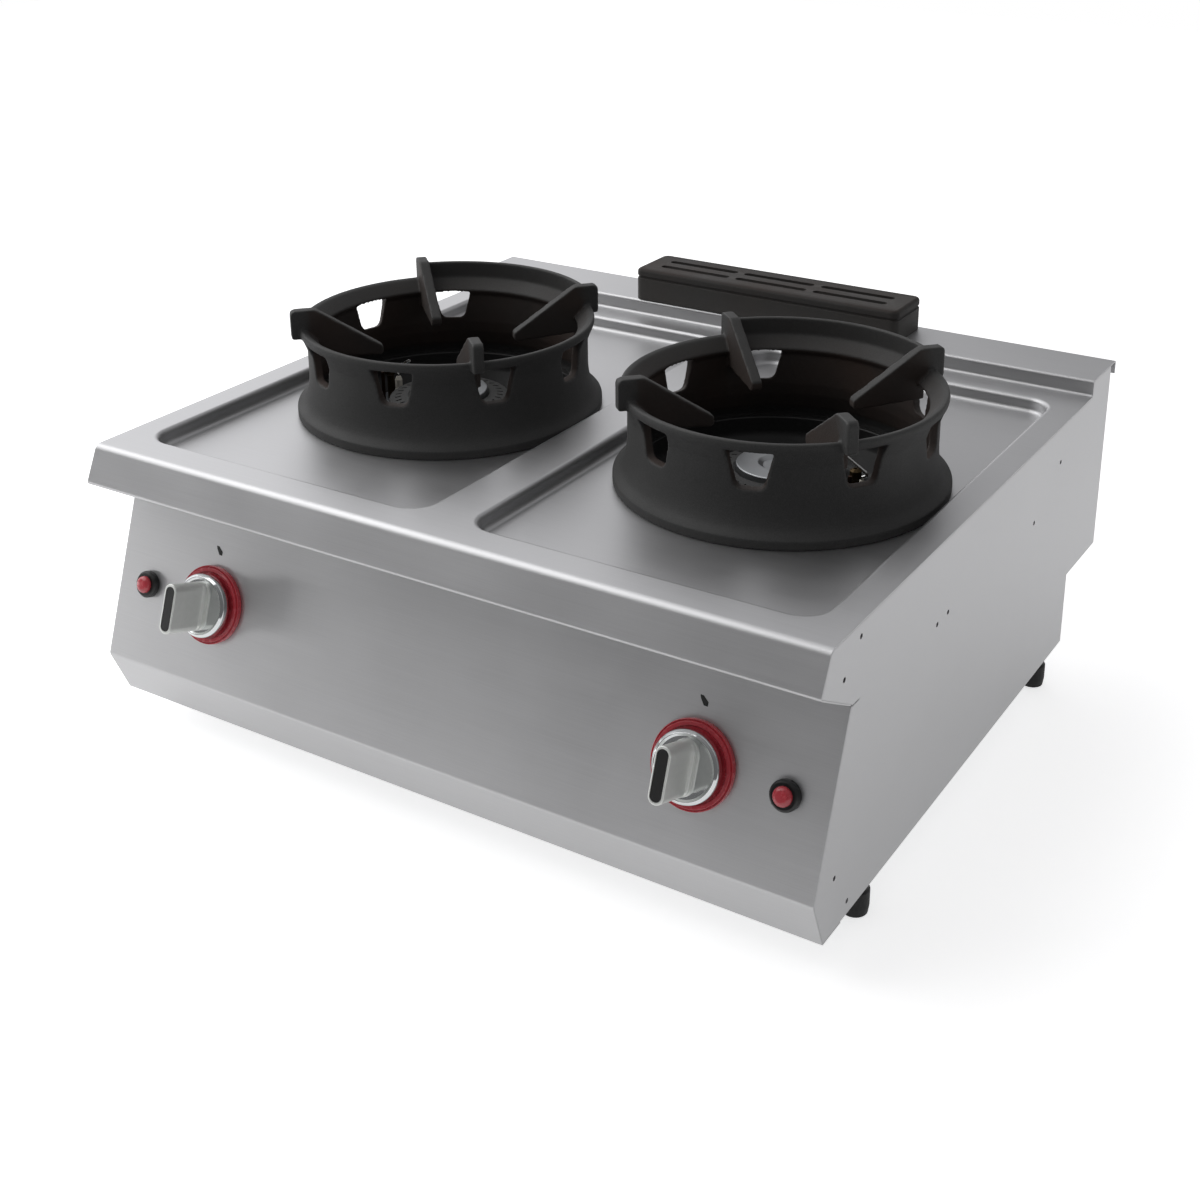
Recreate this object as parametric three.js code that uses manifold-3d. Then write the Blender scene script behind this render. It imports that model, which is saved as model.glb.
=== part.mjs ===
// Countertop gas wok range with two burners, in millimetres, +Z up, front towards -Y.
//
// A folded stainless casing carries a pressed worktop with two wells. A cast-iron wok ring
// stands in each well over a burner. Behind the sloped control panel sit the gas taps, the
// manifold and the piezo igniters. The origin is under the middle of the bounding box, on
// the table.

import * as THREE from "three";
import { mergeVertices } from "three/addons/utils/BufferGeometryUtils.js";
import Module from "manifold-3d";

const wasm = await Module();
wasm.setup();

// ---------------------------------------------------------------- driving dimensions

// Facets round a full turn, by the size of what is round
const HUGE_ROUND = 32;
const LARGE_ROUND = 18;
const MEDIUM_ROUND = 12;
const SMALL_ROUND = 8;
const PIPE_ROUND = 6;

// General
const GAP = 0.3;                    // clearance between pieces that touch
const SHEET = 1.5;                  // stainless sheet of the casing
const WIDTH = 800;                  // casing, side to side
const FOOT_HEIGHT = 38;             // table to the underside of the casing

// Casing profile. Y runs back from the worktop's front edge, Z up from its surface.
const NOSE_DROP = 36;               // height of the worktop's front face
const NOSE_RAKE = 17.4;             // how far that face leans forward at its foot
const PANEL_SETBACK = 40.4;         // top of the control panel, behind the worktop's edge
const PANEL_TOP_DROP = 69.5;        // top of the control panel, below the worktop
const PANEL_FOOT_REACH = 15.8;      // foot of the panel, in front of the worktop's edge
const PANEL_FOOT_DROP = 226.5;      // foot of the panel, below the worktop
const KICK_SETBACK = 5;             // foot of the bevel under the panel, behind the edge
const CASING_DROP = 276;            // worktop surface to the lowest fold
const BOTTOM_FOLD = 35;             // fold that runs back under the casing
const PANEL_FLANGE = 16;            // fold behind the panel's top edge
const REAR_LOWER = 602;             // rear wall under the step
const STEP_DROP = 193.6;            // the step in the rear wall, below the worktop
const REAR_UPPER = 695.8;           // rear wall over the step
const UPSTAND_FRONT = 636;          // front of the raised rear ledge
const UPSTAND_HEIGHT = 18;
const LIP_REACH = 16.8;             // how far the ledge's rear lip stands behind the casing
const LIP_DROP = 15;
const NOSE_BEND = 9;                // outer bend radii of the folded sheets
const UPSTAND_BEND = 4;
const PANEL_BEND = 6;
const FOLD_BEND = 3;

// Wells
const SIDE_BORDER = 26;             // flat strip outside each well
const DIVIDER = 44;                 // flat strip between the wells
const WELL_FRONT = 34;
const WELL_BACK = 604;
const WELL_DEPTH = 16;
const WELL_CORNER = 30;
const WELL_EDGE_BEND = 5;           // bend where the worktop turns down into the well
const WELL_FLOOR_BEND = 6;          // bend where the wall meets the floor
const BURNER_OPENING = 138;         // radius of the hole over the burner
const COLLAR_HEIGHT = 8;            // upturned edge round that hole

// Wok rings. Heights count from the well's floor.
const RING_Y = 307;
const RING_SHIFT = 2.5;             // both rings stand this far right of their burners' axes
const RING_HEIGHT = 98;
const RING_FOOT_RADIUS = 162;
const RING_WAIST_RADIUS = 147.5;
const RING_RIM_RADIUS = 155;
const RING_WALL = 8;
const RING_FOOT_THICKNESS = 9;      // height of the foot's upright edge
const RING_LEDGE = 12;              // sloped ledge inside the rim, wide and deep
const SHIELD_RISE = 16;             // raised wall on the rim between the two rear ribs
const SHIELD_WALL = 6.5;
const WINDOW_COUNT = 9;             // places round the ring
const WINDOW_LEFT_SOLID = 5;        // the place under the shield that has no window
const WINDOW_FIRST_ANGLE = -114.5;  // degrees, from +X
const WINDOW_TOP_WIDTH = 45;        // sizes on the outside
const WINDOW_FOOT_WIDTH = 28;
const WINDOW_FOOT_HEIGHT = 49;
const WINDOW_BRIDGE = 11;           // iron between the windows' tops and the rim
const WINDOW_CORNER = 8;
const WINDOW_DRAFT = 3;             // how much narrower each side is on the inside
const RIB_COUNT = 4;
const RIB_FIRST_ANGLE = -132;
const RIB_THICKNESS = 11;
const RIB_OUTER_RADIUS = 163.5;
const RIB_RISE = 20.5;              // the rib's level top, over the rim
const RIB_HOOK_HEIGHT = 31;
const RIB_LEVEL_RADIUS = 138;       // the rib's top is level from the hook in to here
const RIB_INNER_RADIUS = 70;
const RIB_DROP = 45.5;              // from the rib's level top down to its inner end
const RIB_INNER_DEPTH = 10;
const RIB_ROOT_DEPTH = 40;

// Flue
const FLUE_X = 4.5;                 // the cover sits a little right of the middle
const FLUE_COVER_LENGTH = 340;
const FLUE_COVER_DEPTH = 72;
const FLUE_COVER_HEIGHT = 37.5;
const FLUE_COVER_WALL = 5;
const FLUE_COVER_CORNER = 9;
const FLUE_COVER_EDGE = 4;
const FLUE_SLOT_ROWS = 2;
const FLUE_SLOTS_IN_ROW = 3;
const FLUE_SLOT_LENGTH = 92;
const FLUE_SLOT_SPACING = 101;      // from one slot of a row to the next
const FLUE_SLOT_WIDTH = 9;
const FLUE_SLOT_PITCH = 22;
const FLUE_OPENING_LENGTH = 290;
const FLUE_OPENING_DEPTH = 40;
const FLUE_DUCT_DROP = 150;

// Controls. Offsets count outwards from the control panel's face.
const CONTROL_DOWN = 84.5;          // control axes, down the panel from its top edge
const KNOB_X = 274;
const IGNITER_X = 360;
const KNOB_RADIUS = 31.5;
const KNOB_BACK = 8;                // underside of the knob
const KNOB_FACE = 19;               // face of the knob's disc
const KNOB_FRONT = 60;              // front of the grip bar
const KNOB_PUSH = 3;
const GRIP_LENGTH = 49;
const GRIP_WIDTH = 14.5;
const INLAY_LENGTH = 44;
const INLAY_WIDTH = 11;
const INLAY_DEPTH = 1.5;
const BEZEL_RADIUS = 39;
const BEZEL_BORE = 14;
const BEZEL_RIM = 5;
const BEZEL_HEIGHT = 6;
const BEZEL_FLOOR = 3;
const STEM_RADIUS = 4;
const STEM_HOLE = 7;
const IGNITER_RADIUS = 13.5;
const IGNITER_BARREL = 10.5;
const IGNITER_LENGTH = 48;
const IGNITER_FRONT = 7;
const BUTTON_RADIUS = 8.5;
const BUTTON_FRONT = 12.5;
const BUTTON_TRAVEL = 4;

// Gas train
const TAP_RADIUS = 17;
const TAP_NECK_RADIUS = 11;
const TAP_NECK = 14;                // length of the neck behind the panel
const TAP_LENGTH = 52;
const PLUG_RADIUS = 10;
const MANIFOLD_RADIUS = 13.5;
const MANIFOLD_LENGTH = 640;
const MANIFOLD_BACK = 36;           // manifold axis behind the panel's face
const INLET_X = 0;
const INLET_DROP = 236;             // inlet axis below the worktop
const INLET_RADIUS = 10.5;
const BURNER_RADIUS = 64;
const BURNER_RIM_DROP = 14;         // top of the burner body below the worktop
const BURNER_CAP_RISE = 14;         // height of the cap over the burner body
const BURNER_HEAD_RADIUS = 42;      // raised middle of the cap
const BURNER_WALL = 5;
const BURNER_PORT_DROP = 105;       // axis of the mixing tube below the worktop
const MIXING_TUBE_RADIUS = 15;
const MIXING_TUBE_MOUTH = 118;      // Y of the tube's open end
const INJECTOR_RADIUS = 6;
const PILOT_STANDOFF = 16;          // pilot, probe and electrode, out from the burner's edge
const PILOT_PITCH = 13;
const PILOT_PLATE_DROP = 26;
const BOWL_DEPTH = 34;              // well's floor to the lowest part of the bowl
const BOWL_LIP = 3;
const PILOT_PLATE_MARGIN = 15;      // bracket's edge, out from the pilot's axis
const PILOT_NECK = 4;               // radius where pilot and electrode pass the bracket
const PROBE_RADIUS = 2;

// Feet
const FOOT_X = 384;
const FOOT_FRONT_Y = 106;
const FOOT_REAR_Y = 564;
const FOOT_RADIUS = 12.8;
const FOOT_STUD = 5;

// ---------------------------------------------------------------- derived sizes

const RAD = Math.PI / 180;
const WELL_WIDTH = (WIDTH - 2 * SIDE_BORDER - DIVIDER) / 2;
const WELL_X = DIVIDER / 2 + WELL_WIDTH / 2;
const FLOOR_Z = -WELL_DEPTH;
const BASE_Z = -CASING_DROP + SHEET + GAP;
const INNER_HALF_WIDTH = WIDTH / 2 - SHEET - GAP;
const SHIELD_HEIGHT = RING_HEIGHT + SHIELD_RISE;
const WINDOW_TOP_HEIGHT = RING_HEIGHT - WINDOW_BRIDGE;
const RIB_OUTER_TOP = RING_HEIGHT + RIB_RISE;
const RIB_INNER_TOP = RIB_OUTER_TOP - RIB_DROP;
const PILOT_REACH = BURNER_RADIUS + PILOT_STANDOFF;
const SIDES = [["left", -1], ["right", 1]];

// Direction up the control panel and its outward normal, as [y, z].
const panelRun = new THREE.Vector2(PANEL_SETBACK + PANEL_FOOT_REACH, PANEL_FOOT_DROP - PANEL_TOP_DROP);
const PANEL_UP = panelRun.clone().normalize();
const PANEL_OUT = new THREE.Vector2(-PANEL_UP.y, PANEL_UP.x);
const PANEL_TURN = Math.atan2(PANEL_UP.y, PANEL_UP.x);
const CONTROL_ORIGIN = new THREE.Vector2(PANEL_SETBACK, -PANEL_TOP_DROP)
  .addScaledVector(PANEL_UP, -CONTROL_DOWN);

// ---------------------------------------------------------------- materials

function finish(color, roughness, metalness) {
  return () => new THREE.MeshStandardMaterial({ color, roughness, metalness });
}
const stainless = finish(0xb4b4b6, 0.38, 1);
const castIron = finish(0x2e2e2e, 0.75, 0.2);
const enamelledIron = finish(0x343434, 0.55, 0.1);
const chrome = finish(0xd2d4d4, 0.12, 1);
const blackPlastic = finish(0x161616, 0.4, 0);
const redPlastic = finish(0xb2303a, 0.35, 0);
const brass = finish(0xb28f4c, 0.35, 1);
const zincSteel = finish(0x9a9c9e, 0.45, 1);
const copper = finish(0xa8684a, 0.4, 1);
const ceramic = finish(0xe6e2d8, 0.5, 0);
const siliconeLead = finish(0x8c2a2a, 0.6, 0);

// ---------------------------------------------------------------- geometry helpers

// One closed body: vertices merged, slivers dropped, faces pointing out.
function closed(geometry) {
  const bare = new THREE.BufferGeometry();
  bare.setAttribute("position", geometry.getAttribute("position").clone());
  bare.setIndex(geometry.getIndex());
  const merged = mergeVertices(bare, 1e-4);
  const corners = merged.getIndex().array;
  const at = merged.getAttribute("position");
  const kept = [];
  let volume = 0;
  const [a, b, c] = [new THREE.Vector3(), new THREE.Vector3(), new THREE.Vector3()];
  for (let i = 0; i < corners.length; i += 3) {
    const [p, q, r] = [corners[i], corners[i + 1], corners[i + 2]];
    if (p === q || q === r || r === p) continue;
    kept.push(p, q, r);
    a.fromBufferAttribute(at, p);
    b.fromBufferAttribute(at, q);
    c.fromBufferAttribute(at, r);
    volume += a.dot(b.cross(c));
  }
  if (volume < 0) kept.reverse();
  merged.setIndex(kept);
  merged.computeVertexNormals();
  return merged;
}

function toSolid(geometry) {
  const shell = closed(geometry);
  return new wasm.Manifold(new wasm.Mesh({
    numProp: 3,
    vertProperties: new Float32Array(shell.getAttribute("position").array),
    triVerts: new Uint32Array(shell.getIndex().array),
  }));
}

function toGeometry(solid) {
  const mesh = solid.getMesh();
  const geometry = new THREE.BufferGeometry();
  geometry.setAttribute("position", new THREE.BufferAttribute(mesh.vertProperties, 3));
  geometry.setIndex(new THREE.BufferAttribute(mesh.triVerts, 1));
  return geometry;
}

// Joins the first list of geometries, then cuts the second list from them.
function carve(joined, removed = []) {
  let solid = toSolid(joined[0]);
  for (const geometry of joined.slice(1)) solid = solid.add(toSolid(geometry));
  for (const geometry of removed) solid = solid.subtract(toSolid(geometry));
  return toGeometry(solid);
}

// Revolves [radius, height] points about Z.
function revolve(profile, sides) {
  const points = profile.map(([radius, height]) => new THREE.Vector2(radius, height));
  return new THREE.LatheGeometry(points, sides).rotateX(Math.PI / 2);
}

// A ring's profile closes on itself instead of on the axis.
function revolveRing(profile, sides) {
  return revolve([...profile, profile[0]], sides);
}

function cylinder(radius, from, to, sides) {
  return revolve([[0, from], [radius, from], [radius, to], [0, to]], sides);
}

function box(x0, x1, y0, y1, z0, z1) {
  return new THREE.BoxGeometry(x1 - x0, y1 - y0, z1 - z0)
    .translate((x0 + x1) / 2, (y0 + y1) / 2, (z0 + z1) / 2);
}

// Turns a Z-axis shape so that it points along Y.
function alongY(geometry) {
  return geometry.rotateX(-Math.PI / 2);
}

// Extrudes a [y, z] outline along X.
function extrudeAlongX(outline, x0, x1, holes = []) {
  const shape = new THREE.Shape(outline);
  shape.holes = holes.map((hole) => new THREE.Path(hole));
  const axes = new THREE.Matrix4().makeBasis(
    new THREE.Vector3(0, 1, 0), new THREE.Vector3(0, 0, 1), new THREE.Vector3(1, 0, 0));
  return new THREE.ExtrudeGeometry(shape, { depth: x1 - x0, bevelEnabled: false, steps: 1 })
    .applyMatrix4(axes)
    .translate(x0, 0, 0);
}

// Extrudes an [x, y] outline upwards.
function extrudeUp(outline, z0, z1, holes = []) {
  const shape = new THREE.Shape(outline);
  shape.holes = holes.map((hole) => new THREE.Path(hole));
  return new THREE.ExtrudeGeometry(shape, { depth: z1 - z0, bevelEnabled: false, steps: 1 })
    .translate(0, 0, z0);
}

function circleOutline(x, y, radius, sides) {
  return Array.from({ length: sides }, (_, i) => new THREE.Vector2(
    x + radius * Math.cos(2 * Math.PI * i / sides),
    y + radius * Math.sin(2 * Math.PI * i / sides)));
}

function roundedRectangle(width, depth, radius, steps = 4) {
  const points = [];
  for (let corner = 0; corner < 4; corner += 1) {
    const sx = corner === 0 || corner === 3 ? 1 : -1;
    const sy = corner < 2 ? 1 : -1;
    for (let i = 0; i <= steps; i += 1) {
      const angle = (corner + i / steps) * Math.PI / 2;
      points.push(new THREE.Vector2(
        sx * (width / 2 - radius) + radius * Math.cos(angle),
        sy * (depth / 2 - radius) + radius * Math.sin(angle)));
    }
  }
  return points;
}

// Joins outlines of equal point counts, one above the other, into a capped body.
function loft(sections) {
  const count = sections[0].outline.length;
  const positions = [];
  const triangles = [];
  for (const { outline, z } of sections) {
    for (const point of outline) positions.push(point.x, point.y, z);
  }
  for (let level = 0; level < sections.length - 1; level += 1) {
    for (let i = 0; i < count; i += 1) {
      const a = level * count + i;
      const b = level * count + (i + 1) % count;
      triangles.push(a, b, b + count, a, b + count, a + count);
    }
  }
  const last = (sections.length - 1) * count;
  for (const [p, q, r] of THREE.ShapeUtils.triangulateShape(sections[0].outline, [])) {
    triangles.push(p, r, q);
    triangles.push(last + p, last + q, last + r);
  }
  const geometry = new THREE.BufferGeometry();
  geometry.setAttribute("position", new THREE.Float32BufferAttribute(positions, 3));
  geometry.setIndex(triangles);
  return geometry;
}

// A polyline whose corners are rounded to the radius given with each point: [u, v, radius].
function roundedPath(corners, steps = 4) {
  const points = [];
  corners.forEach(([u, v, radius = 0], i) => {
    const here = new THREE.Vector2(u, v);
    if (radius === 0 || i === 0 || i === corners.length - 1) {
      points.push(here);
      return;
    }
    const before = new THREE.Vector2(...corners[i - 1].slice(0, 2)).sub(here).normalize();
    const after = new THREE.Vector2(...corners[i + 1].slice(0, 2)).sub(here).normalize();
    const half = Math.acos(before.dot(after)) / 2;
    const centre = before.clone().add(after).normalize().multiplyScalar(radius / Math.sin(half)).add(here);
    const start = here.clone().addScaledVector(before, radius / Math.tan(half)).sub(centre);
    const turn = (Math.PI - 2 * half) * Math.sign(before.cross(after)) * -1;
    for (let k = 0; k <= steps; k += 1) {
      points.push(start.clone().rotateAround(new THREE.Vector2(), turn * k / steps).add(centre));
    }
  });
  return points;
}

// Shifts a path to its right-hand side, mitred at the corners.
function offsetPath(points, distance) {
  return points.map((point, i) => {
    const normals = [];
    for (const [from, to] of [[i - 1, i], [i, i + 1]]) {
      if (from < 0 || to >= points.length) continue;
      const run = points[to].clone().sub(points[from]).normalize();
      normals.push(new THREE.Vector2(run.y, -run.x));
    }
    const sum = normals.reduce((total, normal) => total.add(normal), new THREE.Vector2());
    const mitre = sum.clone().multiplyScalar(distance * normals.length / sum.lengthSq());
    return point.clone().add(mitre);
  });
}

// The outline of a folded sheet: a path, and the same path shifted by the sheet's thickness.
function foldedSheet(corners, steps) {
  const outer = roundedPath(corners, steps);
  return [...outer, ...offsetPath(outer, SHEET).reverse()];
}

// A pipe's centre line: straight runs joined by bends, with points only where it bends.
class BentPath extends THREE.Curve {
  constructor(corners, bendRadius, bendSteps = 2) {
    super();
    this.points = [corners[0]];
    for (let i = 1; i < corners.length - 1; i += 1) {
      const here = corners[i];
      const before = corners[i - 1].clone().sub(here);
      const after = corners[i + 1].clone().sub(here);
      const reach = Math.min(bendRadius, before.length() * 0.45, after.length() * 0.45);
      const start = here.clone().addScaledVector(before.normalize(), reach);
      const end = here.clone().addScaledVector(after.normalize(), reach);
      this.points.push(...new THREE.QuadraticBezierCurve3(start, here, end).getPoints(bendSteps));
    }
    this.points.push(corners[corners.length - 1]);
  }

  get steps() {
    return this.points.length - 1;
  }

  getPointAt(t) {
    return this.points[Math.round(t * this.steps)].clone();
  }

  getTangentAt(t) {
    const i = Math.round(t * this.steps);
    const from = this.points[Math.max(i - 1, 0)];
    const to = this.points[Math.min(i + 1, this.steps)];
    return to.clone().sub(from).normalize();
  }
}

function pipe(corners, radius, bendRadius, sides = 8) {
  const path = new BentPath(corners, bendRadius);
  const shape = new THREE.Shape(circleOutline(0, 0, radius, sides));
  return new THREE.ExtrudeGeometry(shape, { extrudePath: path, steps: path.steps });
}

// A point given in the control panel's own frame, as the casing sees it.
function panelPoint(x, up, out) {
  return new THREE.Vector3(
    x,
    CONTROL_ORIGIN.x + PANEL_UP.x * up + PANEL_OUT.x * out,
    CONTROL_ORIGIN.y + PANEL_UP.y * up + PANEL_OUT.y * out);
}

// ---------------------------------------------------------------- scene graph

const wokRange = new THREE.Group();
const casing = new THREE.Group();
wokRange.add(casing);

function addPart(name, geometry, material, parent = casing) {
  const mesh = new THREE.Mesh(closed(geometry), material());
  mesh.name = name;
  parent.add(mesh);
  return mesh;
}

function placed(x, y, z, parent = casing) {
  const group = new THREE.Group();
  group.position.set(x, y, z);
  parent.add(group);
  return group;
}

// A frame on the control panel's face: +Z outwards, +Y up the panel.
function controlFrame(x) {
  const origin = panelPoint(x, 0, 0);
  const group = placed(origin.x, origin.y, origin.z);
  group.rotation.x = PANEL_TURN;
  return group;
}

// ---------------------------------------------------------------- casing

const NOSE_TOP = [0, 0];
const NOSE_FOOT = [-NOSE_RAKE, -NOSE_DROP];
const PANEL_TOP = [PANEL_SETBACK, -PANEL_TOP_DROP];
const PANEL_FOOT = [-PANEL_FOOT_REACH, -PANEL_FOOT_DROP];
const KICK_FOOT = [KICK_SETBACK, -CASING_DROP];

function wellOutline(inset) {
  const depth = WELL_BACK - WELL_FRONT;
  return roundedRectangle(WELL_WIDTH - 2 * inset, depth - 2 * inset, WELL_CORNER - inset);
}

// The sections of a pressed pan, from the worktop down: an edge bend, a wall, a floor bend.
function panSections(top, edgeBend, floorBend, floor, steps) {
  const sections = [];
  for (let i = 0; i <= steps; i += 1) {
    const angle = i / steps * Math.PI / 2;
    sections.push({
      outline: wellOutline(edgeBend * Math.sin(angle)),
      z: top - edgeBend * (1 - Math.cos(angle)),
    });
  }
  for (let i = 0; i <= steps; i += 1) {
    const angle = i / steps * Math.PI / 2;
    sections.push({
      outline: wellOutline(edgeBend + floorBend * (1 - Math.cos(angle))),
      z: floor + floorBend * (1 - Math.sin(angle)),
    });
  }
  return sections;
}

// The well's upper surface, open above the worktop.
function wellHollow() {
  const sections = panSections(0, WELL_EDGE_BEND, WELL_FLOOR_BEND, FLOOR_Z, 2);
  return loft([{ outline: wellOutline(0), z: 1 }, ...sections].reverse());
}

// The same pan seen from below, a sheet's thickness outside the hollow.
function wellPan() {
  const sections = panSections(
    -SHEET, WELL_EDGE_BEND - SHEET, WELL_FLOOR_BEND + SHEET, FLOOR_Z - SHEET, 2);
  return loft([{ outline: wellOutline(0), z: -SHEET / 2 }, ...sections].reverse());
}

function buildWorktop() {
  // The fold under the nose ends just above the control panel's top edge.
  const foldEnd = -PANEL_TOP_DROP + GAP;
  const foldShare = (foldEnd - NOSE_FOOT[1]) / (PANEL_TOP[1] - NOSE_FOOT[1]);
  const foldY = NOSE_FOOT[0] + foldShare * (PANEL_TOP[0] - NOSE_FOOT[0]);
  const lipY = REAR_UPPER + LIP_REACH;
  const sheet = extrudeAlongX(foldedSheet([
    [foldY, foldEnd],
    [...NOSE_FOOT, FOLD_BEND],
    [...NOSE_TOP, NOSE_BEND],
    [UPSTAND_FRONT, 0, UPSTAND_BEND],
    [UPSTAND_FRONT, UPSTAND_HEIGHT, UPSTAND_BEND],
    [lipY, UPSTAND_HEIGHT, FOLD_BEND],
    [lipY, UPSTAND_HEIGHT - LIP_DROP],
  ]), -WIDTH / 2, WIDTH / 2);
  const joined = [sheet];
  const removed = [];
  const wellY = (WELL_FRONT + WELL_BACK) / 2;
  for (const [, side] of SIDES) {
    joined.push(wellPan().translate(side * WELL_X, wellY, 0));
    removed.push(wellHollow().translate(side * WELL_X, wellY, 0));
  }
  const pressed = carve(joined, removed);
  const collars = [];
  const openings = [];
  for (const [, side] of SIDES) {
    collars.push(cylinder(BURNER_OPENING + SHEET, FLOOR_Z - SHEET / 2, FLOOR_Z + COLLAR_HEIGHT, LARGE_ROUND)
      .translate(side * WELL_X, RING_Y, 0));
    openings.push(cylinder(BURNER_OPENING, FLOOR_Z - 2 * SHEET, FLOOR_Z + COLLAR_HEIGHT + 1, LARGE_ROUND)
      .translate(side * WELL_X, RING_Y, 0));
  }
  const flueY = (UPSTAND_FRONT + REAR_UPPER) / 2;
  openings.push(box(
    FLUE_X - FLUE_OPENING_LENGTH / 2, FLUE_X + FLUE_OPENING_LENGTH / 2,
    flueY - FLUE_OPENING_DEPTH / 2, flueY + FLUE_OPENING_DEPTH / 2,
    UPSTAND_HEIGHT - 2 * SHEET, UPSTAND_HEIGHT + 1));
  return carve([pressed, ...collars], openings);
}

// Holes through which neighbouring units are bolted together: [y, drop below the worktop].
const SIDE_HOLES = [[54, 13], [25, 38], [220, 79], [245, 78], [23, 221], [51, 261], [472, 81], [543, 41]];
const SIDE_HOLE_RADIUS = 2.4;

function buildSidePanel() {
  const skin = roundedPath([
    [REAR_UPPER, UPSTAND_HEIGHT],
    [UPSTAND_FRONT, UPSTAND_HEIGHT, UPSTAND_BEND],
    [UPSTAND_FRONT, 0, UPSTAND_BEND],
    [...NOSE_TOP, NOSE_BEND],
    [...NOSE_FOOT, FOLD_BEND],
    PANEL_TOP,
    [...PANEL_FOOT, PANEL_BEND],
    KICK_FOOT,
  ]);
  const outline = offsetPath(skin, -SHEET - GAP);
  // The offset runs on to the bottom edge, then the rear edges close the plate.
  const kick = outline[outline.length - 1].clone().sub(outline[outline.length - 2]);
  const foot = outline[outline.length - 2].clone()
    .addScaledVector(kick, (BASE_Z - outline[outline.length - 2].y) / kick.y);
  outline[outline.length - 1] = foot;
  outline.push(
    new THREE.Vector2(REAR_LOWER, BASE_Z),
    new THREE.Vector2(REAR_LOWER, -STEP_DROP),
    new THREE.Vector2(REAR_UPPER, -STEP_DROP));
  const holes = SIDE_HOLES.map(([y, drop]) => circleOutline(y, -drop, SIDE_HOLE_RADIUS, PIPE_ROUND));
  return extrudeAlongX(outline, -SHEET, 0, holes);
}

function buildControlPanel() {
  const face = [
    PANEL_TOP,
    [...PANEL_FOOT, PANEL_BEND],
    [...KICK_FOOT, FOLD_BEND],
    [KICK_SETBACK + BOTTOM_FOLD, -CASING_DROP],
  ];
  const facePath = roundedPath(face, 3).reverse();
  const faceSheet = [...facePath, ...offsetPath(facePath, SHEET).reverse()];
  const flange = foldedSheet([
    [PANEL_SETBACK * 0.75 - PANEL_FOOT_REACH * 0.25, -PANEL_TOP_DROP * 0.75 - PANEL_FOOT_DROP * 0.25],
    PANEL_TOP,
    [PANEL_SETBACK + PANEL_FLANGE, -PANEL_TOP_DROP],
  ]);
  const holes = [];
  const through = 8;
  for (const [, side] of SIDES) {
    for (const [x, radius] of [[KNOB_X, STEM_HOLE], [IGNITER_X, IGNITER_BARREL + 2 * GAP]]) {
      const centre = panelPoint(side * x, 0, 0);
      holes.push(cylinder(radius, -through, through, SMALL_ROUND)
        .rotateX(PANEL_TURN)
        .translate(centre.x, centre.y, centre.z));
    }
  }
  return carve([
    extrudeAlongX(faceSheet, -WIDTH / 2, WIDTH / 2),
    extrudeAlongX(flange, -INNER_HALF_WIDTH, INNER_HALF_WIDTH),
  ], holes);
}

const BASE_FLANGE = 20;
const BASE_FRONT = 12;
const BASE_REAR = REAR_LOWER - SHEET - GAP;
const INSERT_RADIUS = 9;
const INSERT_HEIGHT = 12;

function buildBasePan() {
  const x = INNER_HALF_WIDTH;
  const joined = [box(-x, x, BASE_FRONT, BASE_REAR, BASE_Z, BASE_Z + BASE_FLANGE)];
  const removed = [box(
    -x + SHEET, x - SHEET, BASE_FRONT + SHEET, BASE_REAR - SHEET,
    BASE_Z + SHEET, BASE_Z + BASE_FLANGE + 1)];
  const tray = carve(joined, removed);
  const inserts = [];
  const cuts = [];
  for (const [, side] of SIDES) {
    for (const y of [FOOT_FRONT_Y, FOOT_REAR_Y]) {
      inserts.push(cylinder(INSERT_RADIUS, BASE_Z + SHEET / 2, BASE_Z + INSERT_HEIGHT, SMALL_ROUND)
        .translate(side * FOOT_X, y, 0));
      cuts.push(cylinder(FOOT_STUD + 2 * GAP, BASE_Z - 1, BASE_Z + INSERT_HEIGHT + 1, SMALL_ROUND)
        .translate(side * FOOT_X, y, 0));
    }
    // Air slots under each burner.
    const slotCount = 4;
    const slotPitch = 36;
    for (let i = 0; i < slotCount; i += 1) {
      const slotX = side * WELL_X + (i - (slotCount - 1) / 2) * slotPitch;
      cuts.push(box(slotX - 5, slotX + 5, 440, 540, BASE_Z - 1, BASE_Z + SHEET + 1));
    }
  }
  return carve([tray, ...inserts], cuts);
}

const REAR_VENT_COUNT = 6;
const REAR_VENT_PITCH = 58;
const REAR_VENT_WIDTH = 38;
const REAR_VENT_HEIGHT = 7;

function buildRearPanel() {
  const x = INNER_HALF_WIDTH;
  const path = roundedPath([
    [REAR_LOWER, BASE_Z],
    [REAR_LOWER, -STEP_DROP, 2],
    [REAR_UPPER, -STEP_DROP, 2],
    [REAR_UPPER, UPSTAND_HEIGHT - SHEET - GAP],
  ], 2).reverse();
  const sheet = extrudeAlongX([...path, ...offsetPath(path, SHEET).reverse()], -x, x);
  const inletHole = alongY(cylinder(INLET_RADIUS + 1.5, -6, 6, SMALL_ROUND));
  const cuts = [inletHole.translate(INLET_X, REAR_LOWER, -INLET_DROP)];
  for (let i = 0; i < REAR_VENT_COUNT; i += 1) {
    const ventX = (i - (REAR_VENT_COUNT - 1) / 2) * REAR_VENT_PITCH;
    for (const drop of [150, 168]) {
      cuts.push(box(
        ventX - REAR_VENT_WIDTH / 2, ventX + REAR_VENT_WIDTH / 2, REAR_UPPER - 2 * SHEET, REAR_UPPER + 1,
        -drop - REAR_VENT_HEIGHT / 2, -drop + REAR_VENT_HEIGHT / 2));
    }
  }
  return carve([sheet], cuts);
}

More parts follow.
